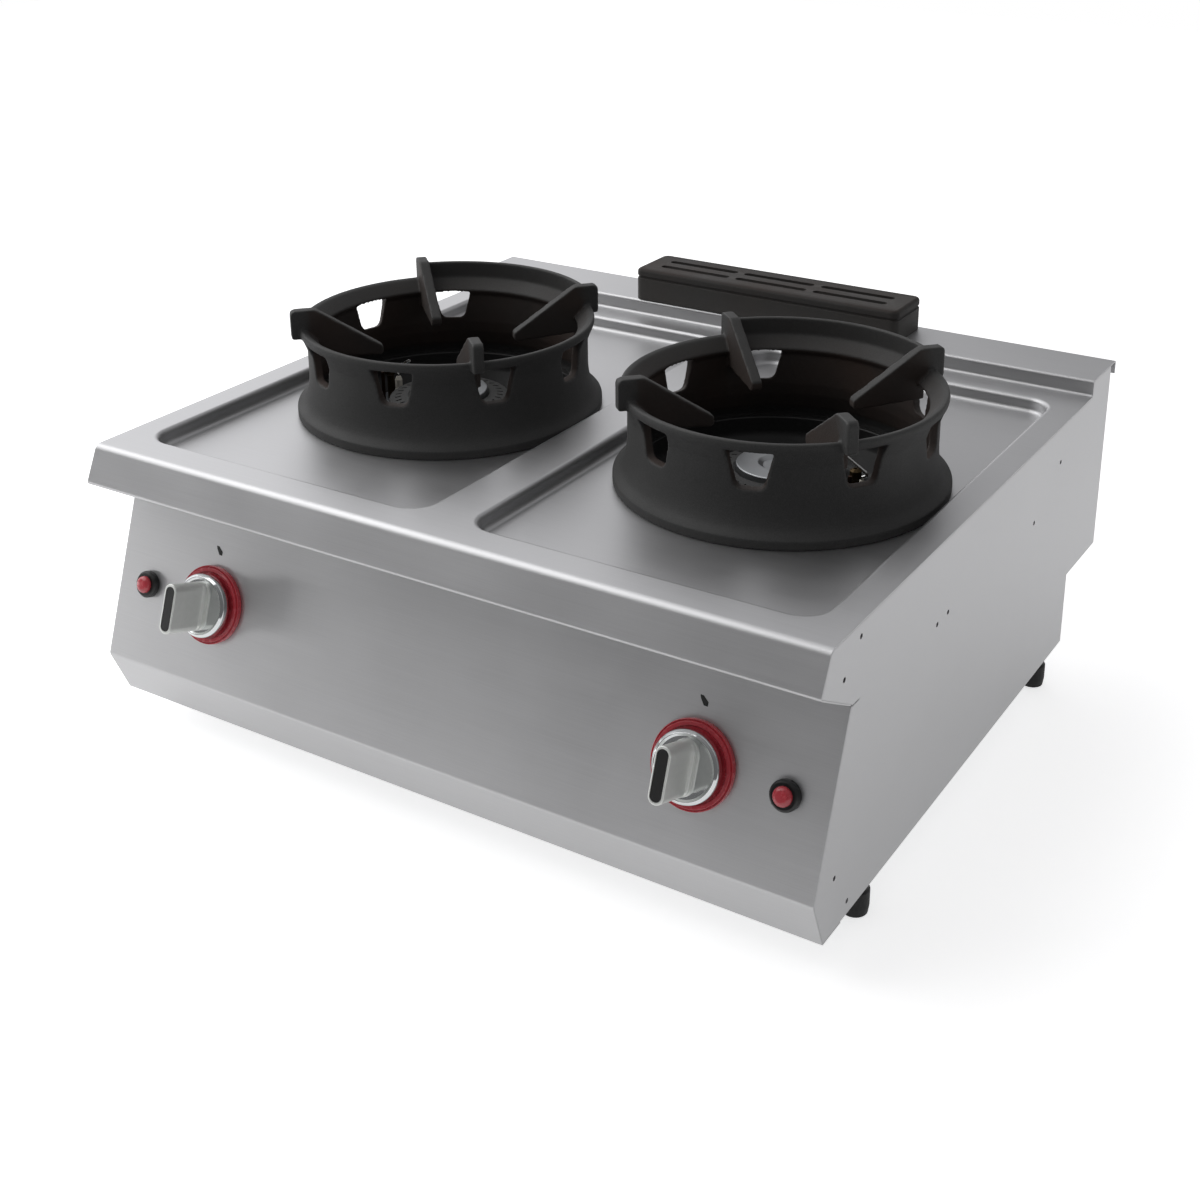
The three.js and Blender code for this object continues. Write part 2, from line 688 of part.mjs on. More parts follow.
addPart("worktop", buildWorktop(), stainless);
for (const [name, side] of SIDES) {
  const panel = addPart(`side_panel_${name}`, buildSidePanel(), stainless);
  panel.position.x = side > 0 ? WIDTH / 2 : -WIDTH / 2 + SHEET;
}
addPart("control_panel", buildControlPanel(), stainless);
addPart("base_pan", buildBasePan(), stainless);
addPart("rear_panel", buildRearPanel(), stainless);

// ---------------------------------------------------------------- flue

function buildFlueDuct() {
  const y = (UPSTAND_FRONT + REAR_UPPER) / 2;
  const outer = [FLUE_OPENING_LENGTH + 2 * SHEET, FLUE_OPENING_DEPTH + 2 * SHEET];
  const outline = roundedRectangle(...outer, 3, 1);
  const hole = roundedRectangle(FLUE_OPENING_LENGTH, FLUE_OPENING_DEPTH, 2, 1);
  return extrudeUp(outline, -FLUE_DUCT_DROP, UPSTAND_HEIGHT - SHEET - GAP, [hole])
    .translate(FLUE_X, y, 0);
}

function buildFlueCover() {
  const outline = (inset) => roundedRectangle(
    FLUE_COVER_LENGTH - 2 * inset, FLUE_COVER_DEPTH - 2 * inset, FLUE_COVER_CORNER - inset, 3);
  const top = FLUE_COVER_HEIGHT;
  const shell = [
    { outline: outline(0), z: 0 },
    { outline: outline(0), z: top - FLUE_COVER_EDGE },
    { outline: outline(0.3 * FLUE_COVER_EDGE), z: top - 0.3 * FLUE_COVER_EDGE },
    { outline: outline(FLUE_COVER_EDGE), z: top },
  ];
  const hollow = [
    { outline: outline(FLUE_COVER_WALL), z: -1 },
    { outline: outline(FLUE_COVER_WALL), z: top - FLUE_COVER_WALL },
  ];
  const cuts = [loft(hollow)];
  const slot = roundedRectangle(FLUE_SLOT_LENGTH, FLUE_SLOT_WIDTH, FLUE_SLOT_WIDTH / 2 - 0.2, 2);
  for (let row = 0; row < FLUE_SLOT_ROWS; row += 1) {
    const y = (row - (FLUE_SLOT_ROWS - 1) / 2) * FLUE_SLOT_PITCH;
    for (let i = 0; i < FLUE_SLOTS_IN_ROW; i += 1) {
      const x = (i - (FLUE_SLOTS_IN_ROW - 1) / 2) * FLUE_SLOT_SPACING;
      cuts.push(extrudeUp(slot, top - 2 * FLUE_COVER_WALL, top + 1).translate(x, y, 0));
    }
  }
  return carve([loft(shell)], cuts);
}

addPart("flue_duct", buildFlueDuct(), stainless);
const coverSeat = placed(FLUE_X, UPSTAND_FRONT + FLUE_COVER_DEPTH / 2, UPSTAND_HEIGHT + GAP);
addPart("flue_cover", buildFlueCover(), enamelledIron, coverSeat);

// ---------------------------------------------------------------- wok rings

// The cast wall from the foot's outer edge, over the rim and down the inside.
function ringProfile() {
  const foot = RING_FOOT_RADIUS;
  const waist = RING_WAIST_RADIUS;
  const rim = RING_RIM_RADIUS;
  const top = RING_HEIGHT;
  const seat = rim - SHIELD_WALL;
  const profile = [
    [foot, 0],
    [foot, RING_FOOT_THICKNESS],
  ];
  // The flare between the foot and the waist is a quarter of an ellipse.
  const flareTop = 46;
  const flareSteps = 3;
  for (let i = 1; i <= flareSteps; i += 1) {
    const angle = i / flareSteps * Math.PI / 2;
    profile.push([
      foot - 3 - (foot - 3 - waist) * Math.sin(angle),
      RING_FOOT_THICKNESS + 3 + (flareTop - RING_FOOT_THICKNESS - 3) * (1 - Math.cos(angle)),
    ]);
  }
  profile.push(
    [waist, top - 24],
    [rim - 2, top - 10],
    [rim, top - 5],
    [rim - 1.5, top - 0.5],
    [seat, top - 2],
    [seat - RING_LEDGE, top - 2 - RING_LEDGE],
    [waist - RING_WALL, top - 8 - RING_LEDGE],
    [waist - RING_WALL, flareTop],
    [foot - RING_WALL - 3, RING_FOOT_THICKNESS],
    [foot - RING_WALL - 3, 0],
  );
  return profile;
}

// The shield takes up the quarter between two ribs, so the other three quarters are cut away.
function buildShield() {
  const rim = RING_RIM_RADIUS;
  const wall = revolveRing([
    [rim - 1.5, RING_HEIGHT - 6],
    [rim - 1.5, SHIELD_HEIGHT - 1],
    [rim - 2.5, SHIELD_HEIGHT],
    [rim - SHIELD_WALL + 1, SHIELD_HEIGHT],
    [rim - SHIELD_WALL, SHIELD_HEIGHT - 1],
    [rim - SHIELD_WALL, RING_HEIGHT - 6],
  ], HUGE_ROUND);
  const reach = 2 * rim;
  const rest = [
    [0, 0], [0, reach], [-reach, reach], [-reach, -reach], [reach, -reach], [reach, 0],
  ].map(([x, y]) => new THREE.Vector2(x, y));
  const cut = extrudeUp(rest, RING_HEIGHT - 10, SHIELD_HEIGHT + 10);
  return carve([wall], [cut.rotateZ((RIB_FIRST_ANGLE + 180) * RAD)]);
}

// One vent window that points outwards along +X and narrows inwards, as a cast hole does.
function windowCutter() {
  const section = (draft) => roundedPath([
    [-WINDOW_TOP_WIDTH / 2 + draft, WINDOW_TOP_HEIGHT - 2 * draft],
    [-WINDOW_FOOT_WIDTH / 2 + draft, WINDOW_FOOT_HEIGHT - draft, WINDOW_CORNER - draft],
    [WINDOW_FOOT_WIDTH / 2 - draft, WINDOW_FOOT_HEIGHT - draft, WINDOW_CORNER - draft],
    [WINDOW_TOP_WIDTH / 2 - draft, WINDOW_TOP_HEIGHT - 2 * draft],
  ], 2);
  const outer = RING_WAIST_RADIUS;
  const axes = new THREE.Matrix4().makeBasis(
    new THREE.Vector3(0, 1, 0), new THREE.Vector3(0, 0, 1), new THREE.Vector3(1, 0, 0));
  return loft([
    { outline: section(WINDOW_DRAFT), z: outer - RING_WALL - 4 },
    { outline: section(0), z: outer },
    { outline: section(0), z: outer + 10 },
  ]).applyMatrix4(axes);
}

// A rib hooks over the rim and slopes down inwards to carry the wok.
function ribOutline() {
  const wallRadius = RING_WAIST_RADIUS - RING_WALL / 2;
  return roundedPath([
    [wallRadius, RIB_OUTER_TOP - RIB_HOOK_HEIGHT],
    [RIB_OUTER_RADIUS, RIB_OUTER_TOP - RIB_HOOK_HEIGHT, 3],
    [RIB_OUTER_RADIUS, RIB_OUTER_TOP, 5],
    [RIB_LEVEL_RADIUS, RIB_OUTER_TOP, 8],
    [RIB_INNER_RADIUS, RIB_INNER_TOP, RIB_INNER_DEPTH * 0.4],
    [RIB_INNER_RADIUS, RIB_INNER_TOP - RIB_INNER_DEPTH, RIB_INNER_DEPTH * 0.4],
    [wallRadius, RIB_OUTER_TOP - RIB_HOOK_HEIGHT - RIB_ROOT_DEPTH / 2],
  ], 2);
}

function buildWokRing() {
  const joined = [revolveRing(ringProfile(), HUGE_ROUND)];
  const cuts = [];
  for (let i = 0; i < WINDOW_COUNT; i += 1) {
    if (i === WINDOW_LEFT_SOLID) continue;
    const angle = WINDOW_FIRST_ANGLE + i * 360 / WINDOW_COUNT;
    cuts.push(windowCutter().rotateZ(angle * RAD));
  }
  const wall = carve(joined, cuts);
  const ribs = [buildShield()];
  for (let i = 0; i < RIB_COUNT; i += 1) {
    const angle = RIB_FIRST_ANGLE + i * 360 / RIB_COUNT;
    // The outline's [radius, height] becomes X and Z, and the thickness lies along Y.
    ribs.push(extrudeAlongX(ribOutline(), -RIB_THICKNESS / 2, RIB_THICKNESS / 2)
      .rotateZ(-Math.PI / 2)
      .rotateZ(angle * RAD));
  }
  return carve([wall, ...ribs]);
}

for (const [name, side] of SIDES) {
  const seat = placed(side * WELL_X + RING_SHIFT, RING_Y, FLOOR_Z + GAP);
  addPart(`wok_ring_${name}`, buildWokRing(), castIron, seat);
}

// ---------------------------------------------------------------- burners

const PORT_RADIUS = MIXING_TUBE_RADIUS + GAP;
const BURNER_BOTTOM = -BURNER_PORT_DROP - PORT_RADIUS - BURNER_WALL;
const PORT_REACH = 52;
const BURNER_SEAT = FLOOR_Z - BOWL_DEPTH + SHEET + GAP;
const FLANGE_REACH = 9;
const FLANGE_TOP = BURNER_SEAT + 4;

// A cast funnel with a side port for the mixing tube and a flange that rests on the bowl.
function buildBurnerBody() {
  const wall = BURNER_WALL;
  const outer = BURNER_RADIUS;
  const neck = 34;
  const seat = BURNER_SEAT;
  const bowl = revolve([
    [0, BURNER_BOTTOM],
    [neck, BURNER_BOTTOM],
    [neck, -84],
    [outer, seat - 12],
    [outer, seat],
    [outer + FLANGE_REACH, seat],
    [outer + FLANGE_REACH, FLANGE_TOP],
    [outer, FLANGE_TOP],
    [outer, -BURNER_RIM_DROP],
    [outer - wall, -BURNER_RIM_DROP],
    [outer - wall, seat - 10],
    [neck - wall, -82],
    [neck - wall, BURNER_BOTTOM + wall],
    [0, BURNER_BOTTOM + wall],
  ], MEDIUM_ROUND);
  const port = alongY(cylinder(PORT_RADIUS + wall, 20, PORT_REACH, SMALL_ROUND)).rotateZ(Math.PI);
  const bore = alongY(cylinder(PORT_RADIUS, 10, PORT_REACH + 1, SMALL_ROUND)).rotateZ(Math.PI);
  const solid = carve(
    [bowl, port.translate(0, 0, -BURNER_PORT_DROP)],
    [bore.translate(0, 0, -BURNER_PORT_DROP)]);
  return carve([solid], [cylinder(neck - wall, BURNER_BOTTOM + wall, -84, MEDIUM_ROUND)]);
}

function buildBurnerCap() {
  const spigot = BURNER_RADIUS - BURNER_WALL - 2 * GAP;
  const seat = -BURNER_RIM_DROP + GAP;
  const top = seat + BURNER_CAP_RISE;
  return revolve([
    [0, top - 6],
    [spigot - 4, top - 12],
    [spigot - 4, seat - 6],
    [spigot, seat - 6],
    [spigot, seat],
    [BURNER_RADIUS, seat],
    [BURNER_RADIUS, top - 9],
    [BURNER_HEAD_RADIUS + 2, top - 5],
    [BURNER_HEAD_RADIUS, top - 1],
    [BURNER_HEAD_RADIUS - 2, top],
    [22, top],
    [16, top - 3],
    [0, top - 3],
  ], MEDIUM_ROUND);
}

// The mixing tube narrows to a throat and opens again to a bell at the injector.
function buildMixingTube() {
  const start = MIXING_TUBE_MOUTH;
  const end = RING_Y - PORT_REACH + 22;
  const bell = 22;
  const throat = MIXING_TUBE_RADIUS - 3;
  return alongY(revolveRing([
    [bell, start],
    [bell, start + 8],
    [throat + 2, start + 40],
    [MIXING_TUBE_RADIUS, end - 40],
    [MIXING_TUBE_RADIUS, end],
    [MIXING_TUBE_RADIUS - 2, end],
    [MIXING_TUBE_RADIUS - 2, end - 40],
    [throat, start + 40],
    [bell - 2, start + 8],
    [bell - 2, start],
  ], SMALL_ROUND)).translate(0, 0, -BURNER_PORT_DROP);
}

// An air-control plate that closes the bell and holds the injector.
function buildInjectorHolder() {
  const y = MIXING_TUBE_MOUTH - GAP;
  const windows = [];
  for (const angle of [90, 210, 330]) {
    windows.push(cylinder(4.5, -5, 5, PIPE_ROUND).translate(14.5, 0, 0).rotateZ(angle * RAD));
  }
  const plate = carve([
    cylinder(23, -3, 0, MEDIUM_ROUND),
    cylinder(9, -10, -1, MEDIUM_ROUND),
  ], [
    cylinder(INJECTOR_RADIUS + 2 * GAP, -12, 2, SMALL_ROUND),
    ...windows,
  ]);
  return alongY(plate).translate(0, y, -BURNER_PORT_DROP);
}

function buildInjector() {
  const y = MIXING_TUBE_MOUTH - GAP;
  return alongY(revolveRing([
    [1.2, 9], [3, 9], [INJECTOR_RADIUS, 3], [INJECTOR_RADIUS, -10 - GAP], [9, -10 - GAP],
    [9, -20], [1.2, -20],
  ], SMALL_ROUND)).translate(0, y, -BURNER_PORT_DROP);
}

// A pressed bowl hangs in the well's opening by its lip. It carries the burner by its flange
// and keeps spills out of the casing.
function buildBurnerBowl(side) {
  const wall = BURNER_OPENING - GAP;
  const lipTop = FLOOR_Z + COLLAR_HEIGHT + GAP + SHEET;
  const bottom = FLOOR_Z - BOWL_DEPTH;
  const bore = BURNER_RADIUS + 5 * GAP;
  const bowl = revolveRing([
    [wall + BOWL_LIP, lipTop],
    [wall - SHEET, lipTop],
    [wall - SHEET, FLOOR_Z - 10],
    [wall - 16, bottom + 4],
    [wall - 26, bottom + SHEET],
    [bore, bottom + SHEET],
    [bore, bottom],
    [wall - 26, bottom],
    [wall - 14, bottom + 3],
    [wall, FLOOR_Z - 9],
    [wall, lipTop - SHEET],
    [wall + BOWL_LIP, lipTop - SHEET],
  ], LARGE_ROUND);
  // The pilot's pipe, the probe and the spark lead rise through one slot.
  const slotX = side * PILOT_REACH;
  const slotHalf = PILOT_PITCH + 8;
  return carve([bowl], [box(slotX - 8, slotX + 8, -slotHalf, slotHalf, bottom - 1, bottom + 6)]);
}

for (const [name, side] of SIDES) {
  const axis = placed(side * WELL_X, RING_Y, 0);
  addPart(`burner_body_${name}`, buildBurnerBody(), castIron, axis);
  addPart(`burner_cap_${name}`, buildBurnerCap(), stainless, axis);
  addPart(`burner_bowl_${name}`, buildBurnerBowl(side), enamelledIron, axis);
  const line = placed(side * WELL_X, 0, 0);
  addPart(`mixing_tube_${name}`, buildMixingTube(), castIron, line);
  addPart(`injector_holder_${name}`, buildInjectorHolder(), zincSteel, line);
  addPart(`injector_${name}`, buildInjector(), brass, line);
}

// ---------------------------------------------------------------- pilot, probe and spark

// A small plate on the burner's outer side holds the pilot, the probe and the electrode.
function buildPilotBracket(side) {
  const near = BURNER_RADIUS + GAP;
  const far = PILOT_REACH + PILOT_PLATE_MARGIN;
  const half = PILOT_PITCH + 11;
  const top = -PILOT_PLATE_DROP;
  const sheet = 2.5;
  const holes = [
    circleOutline(side * PILOT_REACH, -PILOT_PITCH, PROBE_RADIUS + 2 * GAP, SMALL_ROUND),
    circleOutline(side * PILOT_REACH, 0, PILOT_NECK + 2 * GAP, SMALL_ROUND),
    circleOutline(side * PILOT_REACH, PILOT_PITCH, PILOT_NECK + 2 * GAP, SMALL_ROUND),
  ];
  const outline = [[near, -half], [far, -half], [far, half], [near, half]]
    .map(([x, y]) => new THREE.Vector2(side * x, y));
  const plate = extrudeUp(outline, top - sheet, top, holes);
  const tabMiddle = side * (near + sheet / 2);
  const tab = box(tabMiddle - sheet / 2, tabMiddle + sheet / 2, -half, half, FLANGE_TOP + GAP, top - 1);
  return carve([plate, tab]);
}

function buildPilotBurner() {
  return revolveRing([
    [1.5, -46], [5.5, -46], [5.5, -PILOT_PLATE_DROP - 2.5 - GAP],
    [PILOT_NECK, -PILOT_PLATE_DROP - 2.5 - GAP], [PILOT_NECK, 0], [6, 2], [6, 9], [3, 11], [1.5, 11],
  ], SMALL_ROUND);
}

function buildSparkElectrode() {
  return revolve([
    [0, -44], [1.2, -44], [1.2, -36], [5, -36], [5, -PILOT_PLATE_DROP - 2.5 - GAP],
    [PILOT_NECK, -PILOT_PLATE_DROP - 2.5 - GAP], [PILOT_NECK, -8], [2.5, -4], [1.2, -4], [1.2, 8], [0, 8],
  ], SMALL_ROUND);
}

for (const [name, side] of SIDES) {
  const axis = placed(side * WELL_X, RING_Y, 0);
  addPart(`pilot_bracket_${name}`, buildPilotBracket(side), zincSteel, axis);
  const pilot = placed(side * PILOT_REACH, 0, 0, axis);
  addPart(`pilot_burner_${name}`, buildPilotBurner(), brass, pilot);
  const spark = placed(side * PILOT_REACH, PILOT_PITCH, 0, axis);
  addPart(`spark_electrode_${name}`, buildSparkElectrode(), ceramic, spark);
}

// ---------------------------------------------------------------- taps and knobs

const TAP_FRONT = -SHEET - GAP;
const PLUG_FRONT = TAP_FRONT - TAP_NECK - 5;
const PLUG_BACK = TAP_FRONT - TAP_LENGTH + 5;
const STEM_BACK = PLUG_BACK + 9;
const TAP_BACK = TAP_FRONT - TAP_LENGTH;
const MANIFOLD_DOWN = TAP_RADIUS + 5 + MANIFOLD_RADIUS;

function buildTapBody() {
  const back = TAP_BACK;
  const body = revolve([
    [0, back],
    [TAP_RADIUS - 2, back],
    [TAP_RADIUS, back + 2],
    [TAP_RADIUS, TAP_FRONT - TAP_NECK],
    [TAP_NECK_RADIUS, TAP_FRONT - TAP_NECK],
    [TAP_NECK_RADIUS, TAP_FRONT],
    [STEM_RADIUS + 2 * GAP, TAP_FRONT],
    [STEM_RADIUS + 2 * GAP, PLUG_FRONT + GAP],
    [PLUG_RADIUS + 4 * GAP, PLUG_FRONT + GAP],
    [PLUG_RADIUS - 2 + 4 * GAP, PLUG_BACK - GAP],
    [0, PLUG_BACK - GAP],
  ], SMALL_ROUND);
  // The inlet boss reaches down to the manifold.
  const boss = alongY(cylinder(8, TAP_RADIUS - 4, MANIFOLD_DOWN - MANIFOLD_RADIUS - GAP, SMALL_ROUND))
    .rotateZ(Math.PI)
    .translate(0, 0, -MANIFOLD_BACK);
  return carve([body, boss]);
}

function buildTapPlug() {
  const bore = STEM_RADIUS + GAP;
  return revolve([
    [0, PLUG_BACK],
    [PLUG_RADIUS - 2, PLUG_BACK],
    [PLUG_RADIUS, PLUG_FRONT],
    [bore, PLUG_FRONT],
    [bore, STEM_BACK - KNOB_PUSH - 1],
    [0, STEM_BACK - KNOB_PUSH - 1],
  ], SMALL_ROUND);
}

const STEM_FRONT = KNOB_FACE + 12;

function buildTapStem() {
  return cylinder(STEM_RADIUS, STEM_BACK, STEM_FRONT, SMALL_ROUND);
}

function stadium(length, width) {
  return roundedRectangle(width, length, width / 2 - 0.3, 3);
}

function buildKnob() {
  const disc = revolve([
    [0, KNOB_BACK],
    [KNOB_RADIUS - 3, KNOB_BACK],
    [KNOB_RADIUS, KNOB_BACK + 2],
    [KNOB_RADIUS, KNOB_FACE - 3],
    [KNOB_RADIUS - 3, KNOB_FACE],
    [KNOB_RADIUS - 6, KNOB_FACE - 1.5],
    [0, KNOB_FACE - 1.5],
  ], LARGE_ROUND);
  const grip = loft([
    { outline: stadium(GRIP_LENGTH, GRIP_WIDTH + 3), z: KNOB_FACE - 3 },
    { outline: stadium(GRIP_LENGTH, GRIP_WIDTH), z: KNOB_FACE + 8 },
    { outline: stadium(GRIP_LENGTH, GRIP_WIDTH), z: KNOB_FRONT - 1.5 },
    { outline: stadium(GRIP_LENGTH - 2, GRIP_WIDTH - 2), z: KNOB_FRONT },
  ]);
  const recess = extrudeUp(stadium(INLAY_LENGTH, INLAY_WIDTH), KNOB_FRONT - INLAY_DEPTH, KNOB_FRONT + 1);
  const bore = cylinder(STEM_RADIUS + 2 * GAP, KNOB_BACK - 1, STEM_FRONT + GAP, SMALL_ROUND);
  return carve([disc, grip], [recess, bore]);
}

function buildKnobInlay() {
  const outline = stadium(INLAY_LENGTH - 2 * GAP, INLAY_WIDTH - 2 * GAP);
  return extrudeUp(outline, KNOB_FRONT - INLAY_DEPTH + GAP, KNOB_FRONT + 0.2);
}

function buildKnobBezel() {
  return revolveRing([
    [BEZEL_BORE, GAP],
    [BEZEL_RADIUS, GAP],
    [BEZEL_RADIUS, BEZEL_HEIGHT - 1.5],
    [BEZEL_RADIUS - 1.5, BEZEL_HEIGHT],
    [BEZEL_RADIUS - BEZEL_RIM, BEZEL_HEIGHT],
    [BEZEL_RADIUS - BEZEL_RIM - 1.5, BEZEL_FLOOR],
    [BEZEL_BORE, BEZEL_FLOOR],
  ], LARGE_ROUND);
}

function buildIgniterBody() {
  const bore = BUTTON_RADIUS + GAP;
  const boreBack = -IGNITER_FRONT - BUTTON_TRAVEL - 2;
  return revolve([
    [0, -IGNITER_LENGTH],
    [IGNITER_BARREL, -IGNITER_LENGTH],
    [IGNITER_BARREL, GAP],
    [IGNITER_RADIUS, GAP],
    [IGNITER_RADIUS, IGNITER_FRONT - 2],
    [IGNITER_RADIUS - 2, IGNITER_FRONT],
    [bore, IGNITER_FRONT],
    [bore, boreBack],
    [0, boreBack],
  ], SMALL_ROUND);
}

function buildIgniterButton() {
  const back = -IGNITER_FRONT;
  return revolve([
    [0, back],
    [BUTTON_RADIUS, back],
    [BUTTON_RADIUS, BUTTON_FRONT - 2.5],
    [BUTTON_RADIUS - 2.5, BUTTON_FRONT - 0.5],
    [0, BUTTON_FRONT],
  ], SMALL_ROUND);
}

for (const [name, side] of SIDES) {
  const tap = controlFrame(side * KNOB_X);
  addPart(`tap_body_${name}`, buildTapBody(), brass, tap);
  addPart(`tap_plug_${name}`, buildTapPlug(), brass, tap);
  addPart(`tap_stem_${name}`, buildTapStem(), zincSteel, tap);
  addPart(`knob_${name}`, buildKnob(), chrome, tap);
  addPart(`knob_inlay_${name}`, buildKnobInlay(), blackPlastic, tap);
  addPart(`knob_bezel_${name}`, buildKnobBezel(), redPlastic, tap);
  const igniter = controlFrame(side * IGNITER_X);
  addPart(`igniter_body_${name}`, buildIgniterBody(), blackPlastic, igniter);
  addPart(`igniter_button_${name}`, buildIgniterButton(), redPlastic, igniter);
}

// ---------------------------------------------------------------- pipes and leads

const manifoldAxis = panelPoint(0, -MANIFOLD_DOWN, -MANIFOLD_BACK);

// The manifold is a pipe with closed ends and a boss for the inlet pipe.
function buildManifold() {
  const half = MANIFOLD_LENGTH / 2;
  const tube = cylinder(MANIFOLD_RADIUS, -half, half, SMALL_ROUND).rotateY(Math.PI / 2);
  const boss = alongY(cylinder(INLET_RADIUS + 2, 4, MANIFOLD_RADIUS + 8, SMALL_ROUND))
    .translate(INLET_X, 0, 0);
  return carve([tube, boss]);
}

const manifold = placed(0, manifoldAxis.y, manifoldAxis.z);
addPart("gas_manifold", buildManifold(), zincSteel, manifold);

const CONNECTOR_REACH = 30;
const inletStart = manifoldAxis.y + MANIFOLD_RADIUS + 8 + GAP;
addPart("inlet_pipe", pipe([
  new THREE.Vector3(INLET_X, inletStart, manifoldAxis.z),
  new THREE.Vector3(INLET_X, inletStart + 50, manifoldAxis.z),
  new THREE.Vector3(INLET_X, inletStart + 50, -INLET_DROP),
  new THREE.Vector3(INLET_X, REAR_LOWER - 12, -INLET_DROP),
], INLET_RADIUS - 1, 18, SMALL_ROUND), zincSteel);

// The threaded tail passes through the rear wall, with a hexagon against its outside.
function buildInletConnector() {
  const back = REAR_LOWER + CONNECTOR_REACH;
  const tail = revolveRing([
    [7, REAR_LOWER - 12 + GAP], [INLET_RADIUS, REAR_LOWER - 12 + GAP], [INLET_RADIUS, back], [7, back],
  ], SMALL_ROUND);
  const nut = revolveRing([
    [9, REAR_LOWER + GAP], [17, REAR_LOWER + GAP], [17, REAR_LOWER + 10], [9, REAR_LOWER + 10],
  ], 6);
  return alongY(carve([tail, nut])).translate(INLET_X, 0, -INLET_DROP);
}
addPart("inlet_connector", buildInletConnector(), brass);

for (const [name, side] of SIDES) {
  const at = (x, y, z) => new THREE.Vector3(side * x, y, z);
  const feedStart = panelPoint(side * KNOB_X, -6, TAP_BACK - GAP);
  const feedOut = panelPoint(side * KNOB_X, -6, TAP_BACK - 16);
  const injectorBack = MIXING_TUBE_MOUTH - GAP - 20 - GAP;
  addPart(`feed_pipe_${name}`, pipe([
    feedStart, feedOut,
    at(WELL_X, injectorBack - 28, feedOut.z),
    at(WELL_X, injectorBack - 28, -BURNER_PORT_DROP),
    at(WELL_X, injectorBack, -BURNER_PORT_DROP),
  ], 4, 12, SMALL_ROUND), copper);

  const pilotX = WELL_X + PILOT_REACH;
  const pilotStart = panelPoint(side * (KNOB_X + 8), 9, TAP_BACK - GAP);
  const pilotOut = panelPoint(side * (KNOB_X + 8), 9, TAP_BACK - 18);
  addPart(`pilot_pipe_${name}`, pipe([
    pilotStart, pilotOut,
    at(pilotX + 12, 150, -100), at(pilotX, RING_Y, -100), at(pilotX, RING_Y, -46 - GAP),
  ], 2.5, 12, PIPE_ROUND), copper);

  const probeStart = panelPoint(side * (KNOB_X - 8), 9, TAP_BACK - GAP);
  const probeOut = panelPoint(side * (KNOB_X - 8), 9, TAP_BACK - 18);
  addPart(`thermocouple_${name}`, pipe([
    probeStart, probeOut,
    at(pilotX - 14, 150, -80), at(pilotX, RING_Y - PILOT_PITCH, -80),
    at(pilotX, RING_Y - PILOT_PITCH, 8),
  ], PROBE_RADIUS, 10, PIPE_ROUND), copper);

  const igniterBack = panelPoint(side * IGNITER_X, 0, -IGNITER_LENGTH - GAP);
  const igniterOut = panelPoint(side * IGNITER_X, 0, -IGNITER_LENGTH - 20);
  addPart(`ignition_lead_${name}`, pipe([
    igniterBack, igniterOut,
    at(IGNITER_X, 170, -120), at(pilotX, RING_Y + PILOT_PITCH, -120),
    at(pilotX, RING_Y + PILOT_PITCH, -44 - GAP),
  ], 2.5, 14, PIPE_ROUND), siliconeLead);
}

// ---------------------------------------------------------------- feet

function buildFoot() {
  const top = FOOT_HEIGHT - GAP;
  return revolve([
    [0, 0],
    [FOOT_RADIUS - 1.5, 0],
    [FOOT_RADIUS, 10],
    [FOOT_RADIUS, top - 3],
    [FOOT_RADIUS - 2, top],
    [FOOT_STUD, top],
    [FOOT_STUD, top + INSERT_HEIGHT + 4],
    [0, top + INSERT_HEIGHT + 4],
  ], SMALL_ROUND);
}

for (const [name, side] of SIDES) {
  for (const [end, y] of [["front", FOOT_FRONT_Y], ["rear", FOOT_REAR_Y]]) {
    const seat = placed(side * FOOT_X, y, BASE_Z - FOOT_HEIGHT);
    addPart(`foot_${end}_${name}`, buildFoot(), blackPlastic, seat);
  }
}

// ---------------------------------------------------------------- origin

// The casing moves so that the origin lies under the middle of the whole range.
casing.updateMatrixWorld(true);
const bounds = new THREE.Box3().setFromObject(casing, true);
casing.position.set(
  -(bounds.min.x + bounds.max.x) / 2,
  -(bounds.min.y + bounds.max.y) / 2,
  -bounds.min.z);

export default wokRange;
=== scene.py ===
"""Countertop wok range with two burners: what its pieces look like round the fixed CAD frame.

Shapes are written in millimetres in the casing's own frame: X to the right, Y back from the
worktop's front edge, Z up from the worktop's surface. They become metres when a piece is made.
"""

import math

import bmesh
import bpy
from mathutils import Matrix, Quaternion, Vector
from mathutils.geometry import tessellate_polygon


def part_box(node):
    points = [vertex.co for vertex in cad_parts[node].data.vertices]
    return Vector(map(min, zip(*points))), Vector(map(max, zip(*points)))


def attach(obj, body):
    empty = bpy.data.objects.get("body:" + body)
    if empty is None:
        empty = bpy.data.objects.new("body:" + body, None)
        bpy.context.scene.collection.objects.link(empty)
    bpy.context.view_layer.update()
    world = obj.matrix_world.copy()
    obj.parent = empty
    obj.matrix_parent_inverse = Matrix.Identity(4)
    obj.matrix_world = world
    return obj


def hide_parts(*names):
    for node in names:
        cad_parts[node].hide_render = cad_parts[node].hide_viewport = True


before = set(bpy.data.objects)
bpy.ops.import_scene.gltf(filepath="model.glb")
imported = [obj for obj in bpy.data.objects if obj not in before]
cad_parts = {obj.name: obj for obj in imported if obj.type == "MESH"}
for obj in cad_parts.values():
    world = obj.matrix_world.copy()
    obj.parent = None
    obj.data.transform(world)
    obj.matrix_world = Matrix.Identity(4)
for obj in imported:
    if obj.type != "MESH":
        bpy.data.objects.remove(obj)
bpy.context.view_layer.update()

MM = 0.001

# ---------------------------------------------------------------- sizes, in millimetres

SHEET = 1.5
WIDTH = 800.0
HALF = WIDTH / 2
GAP = 0.3

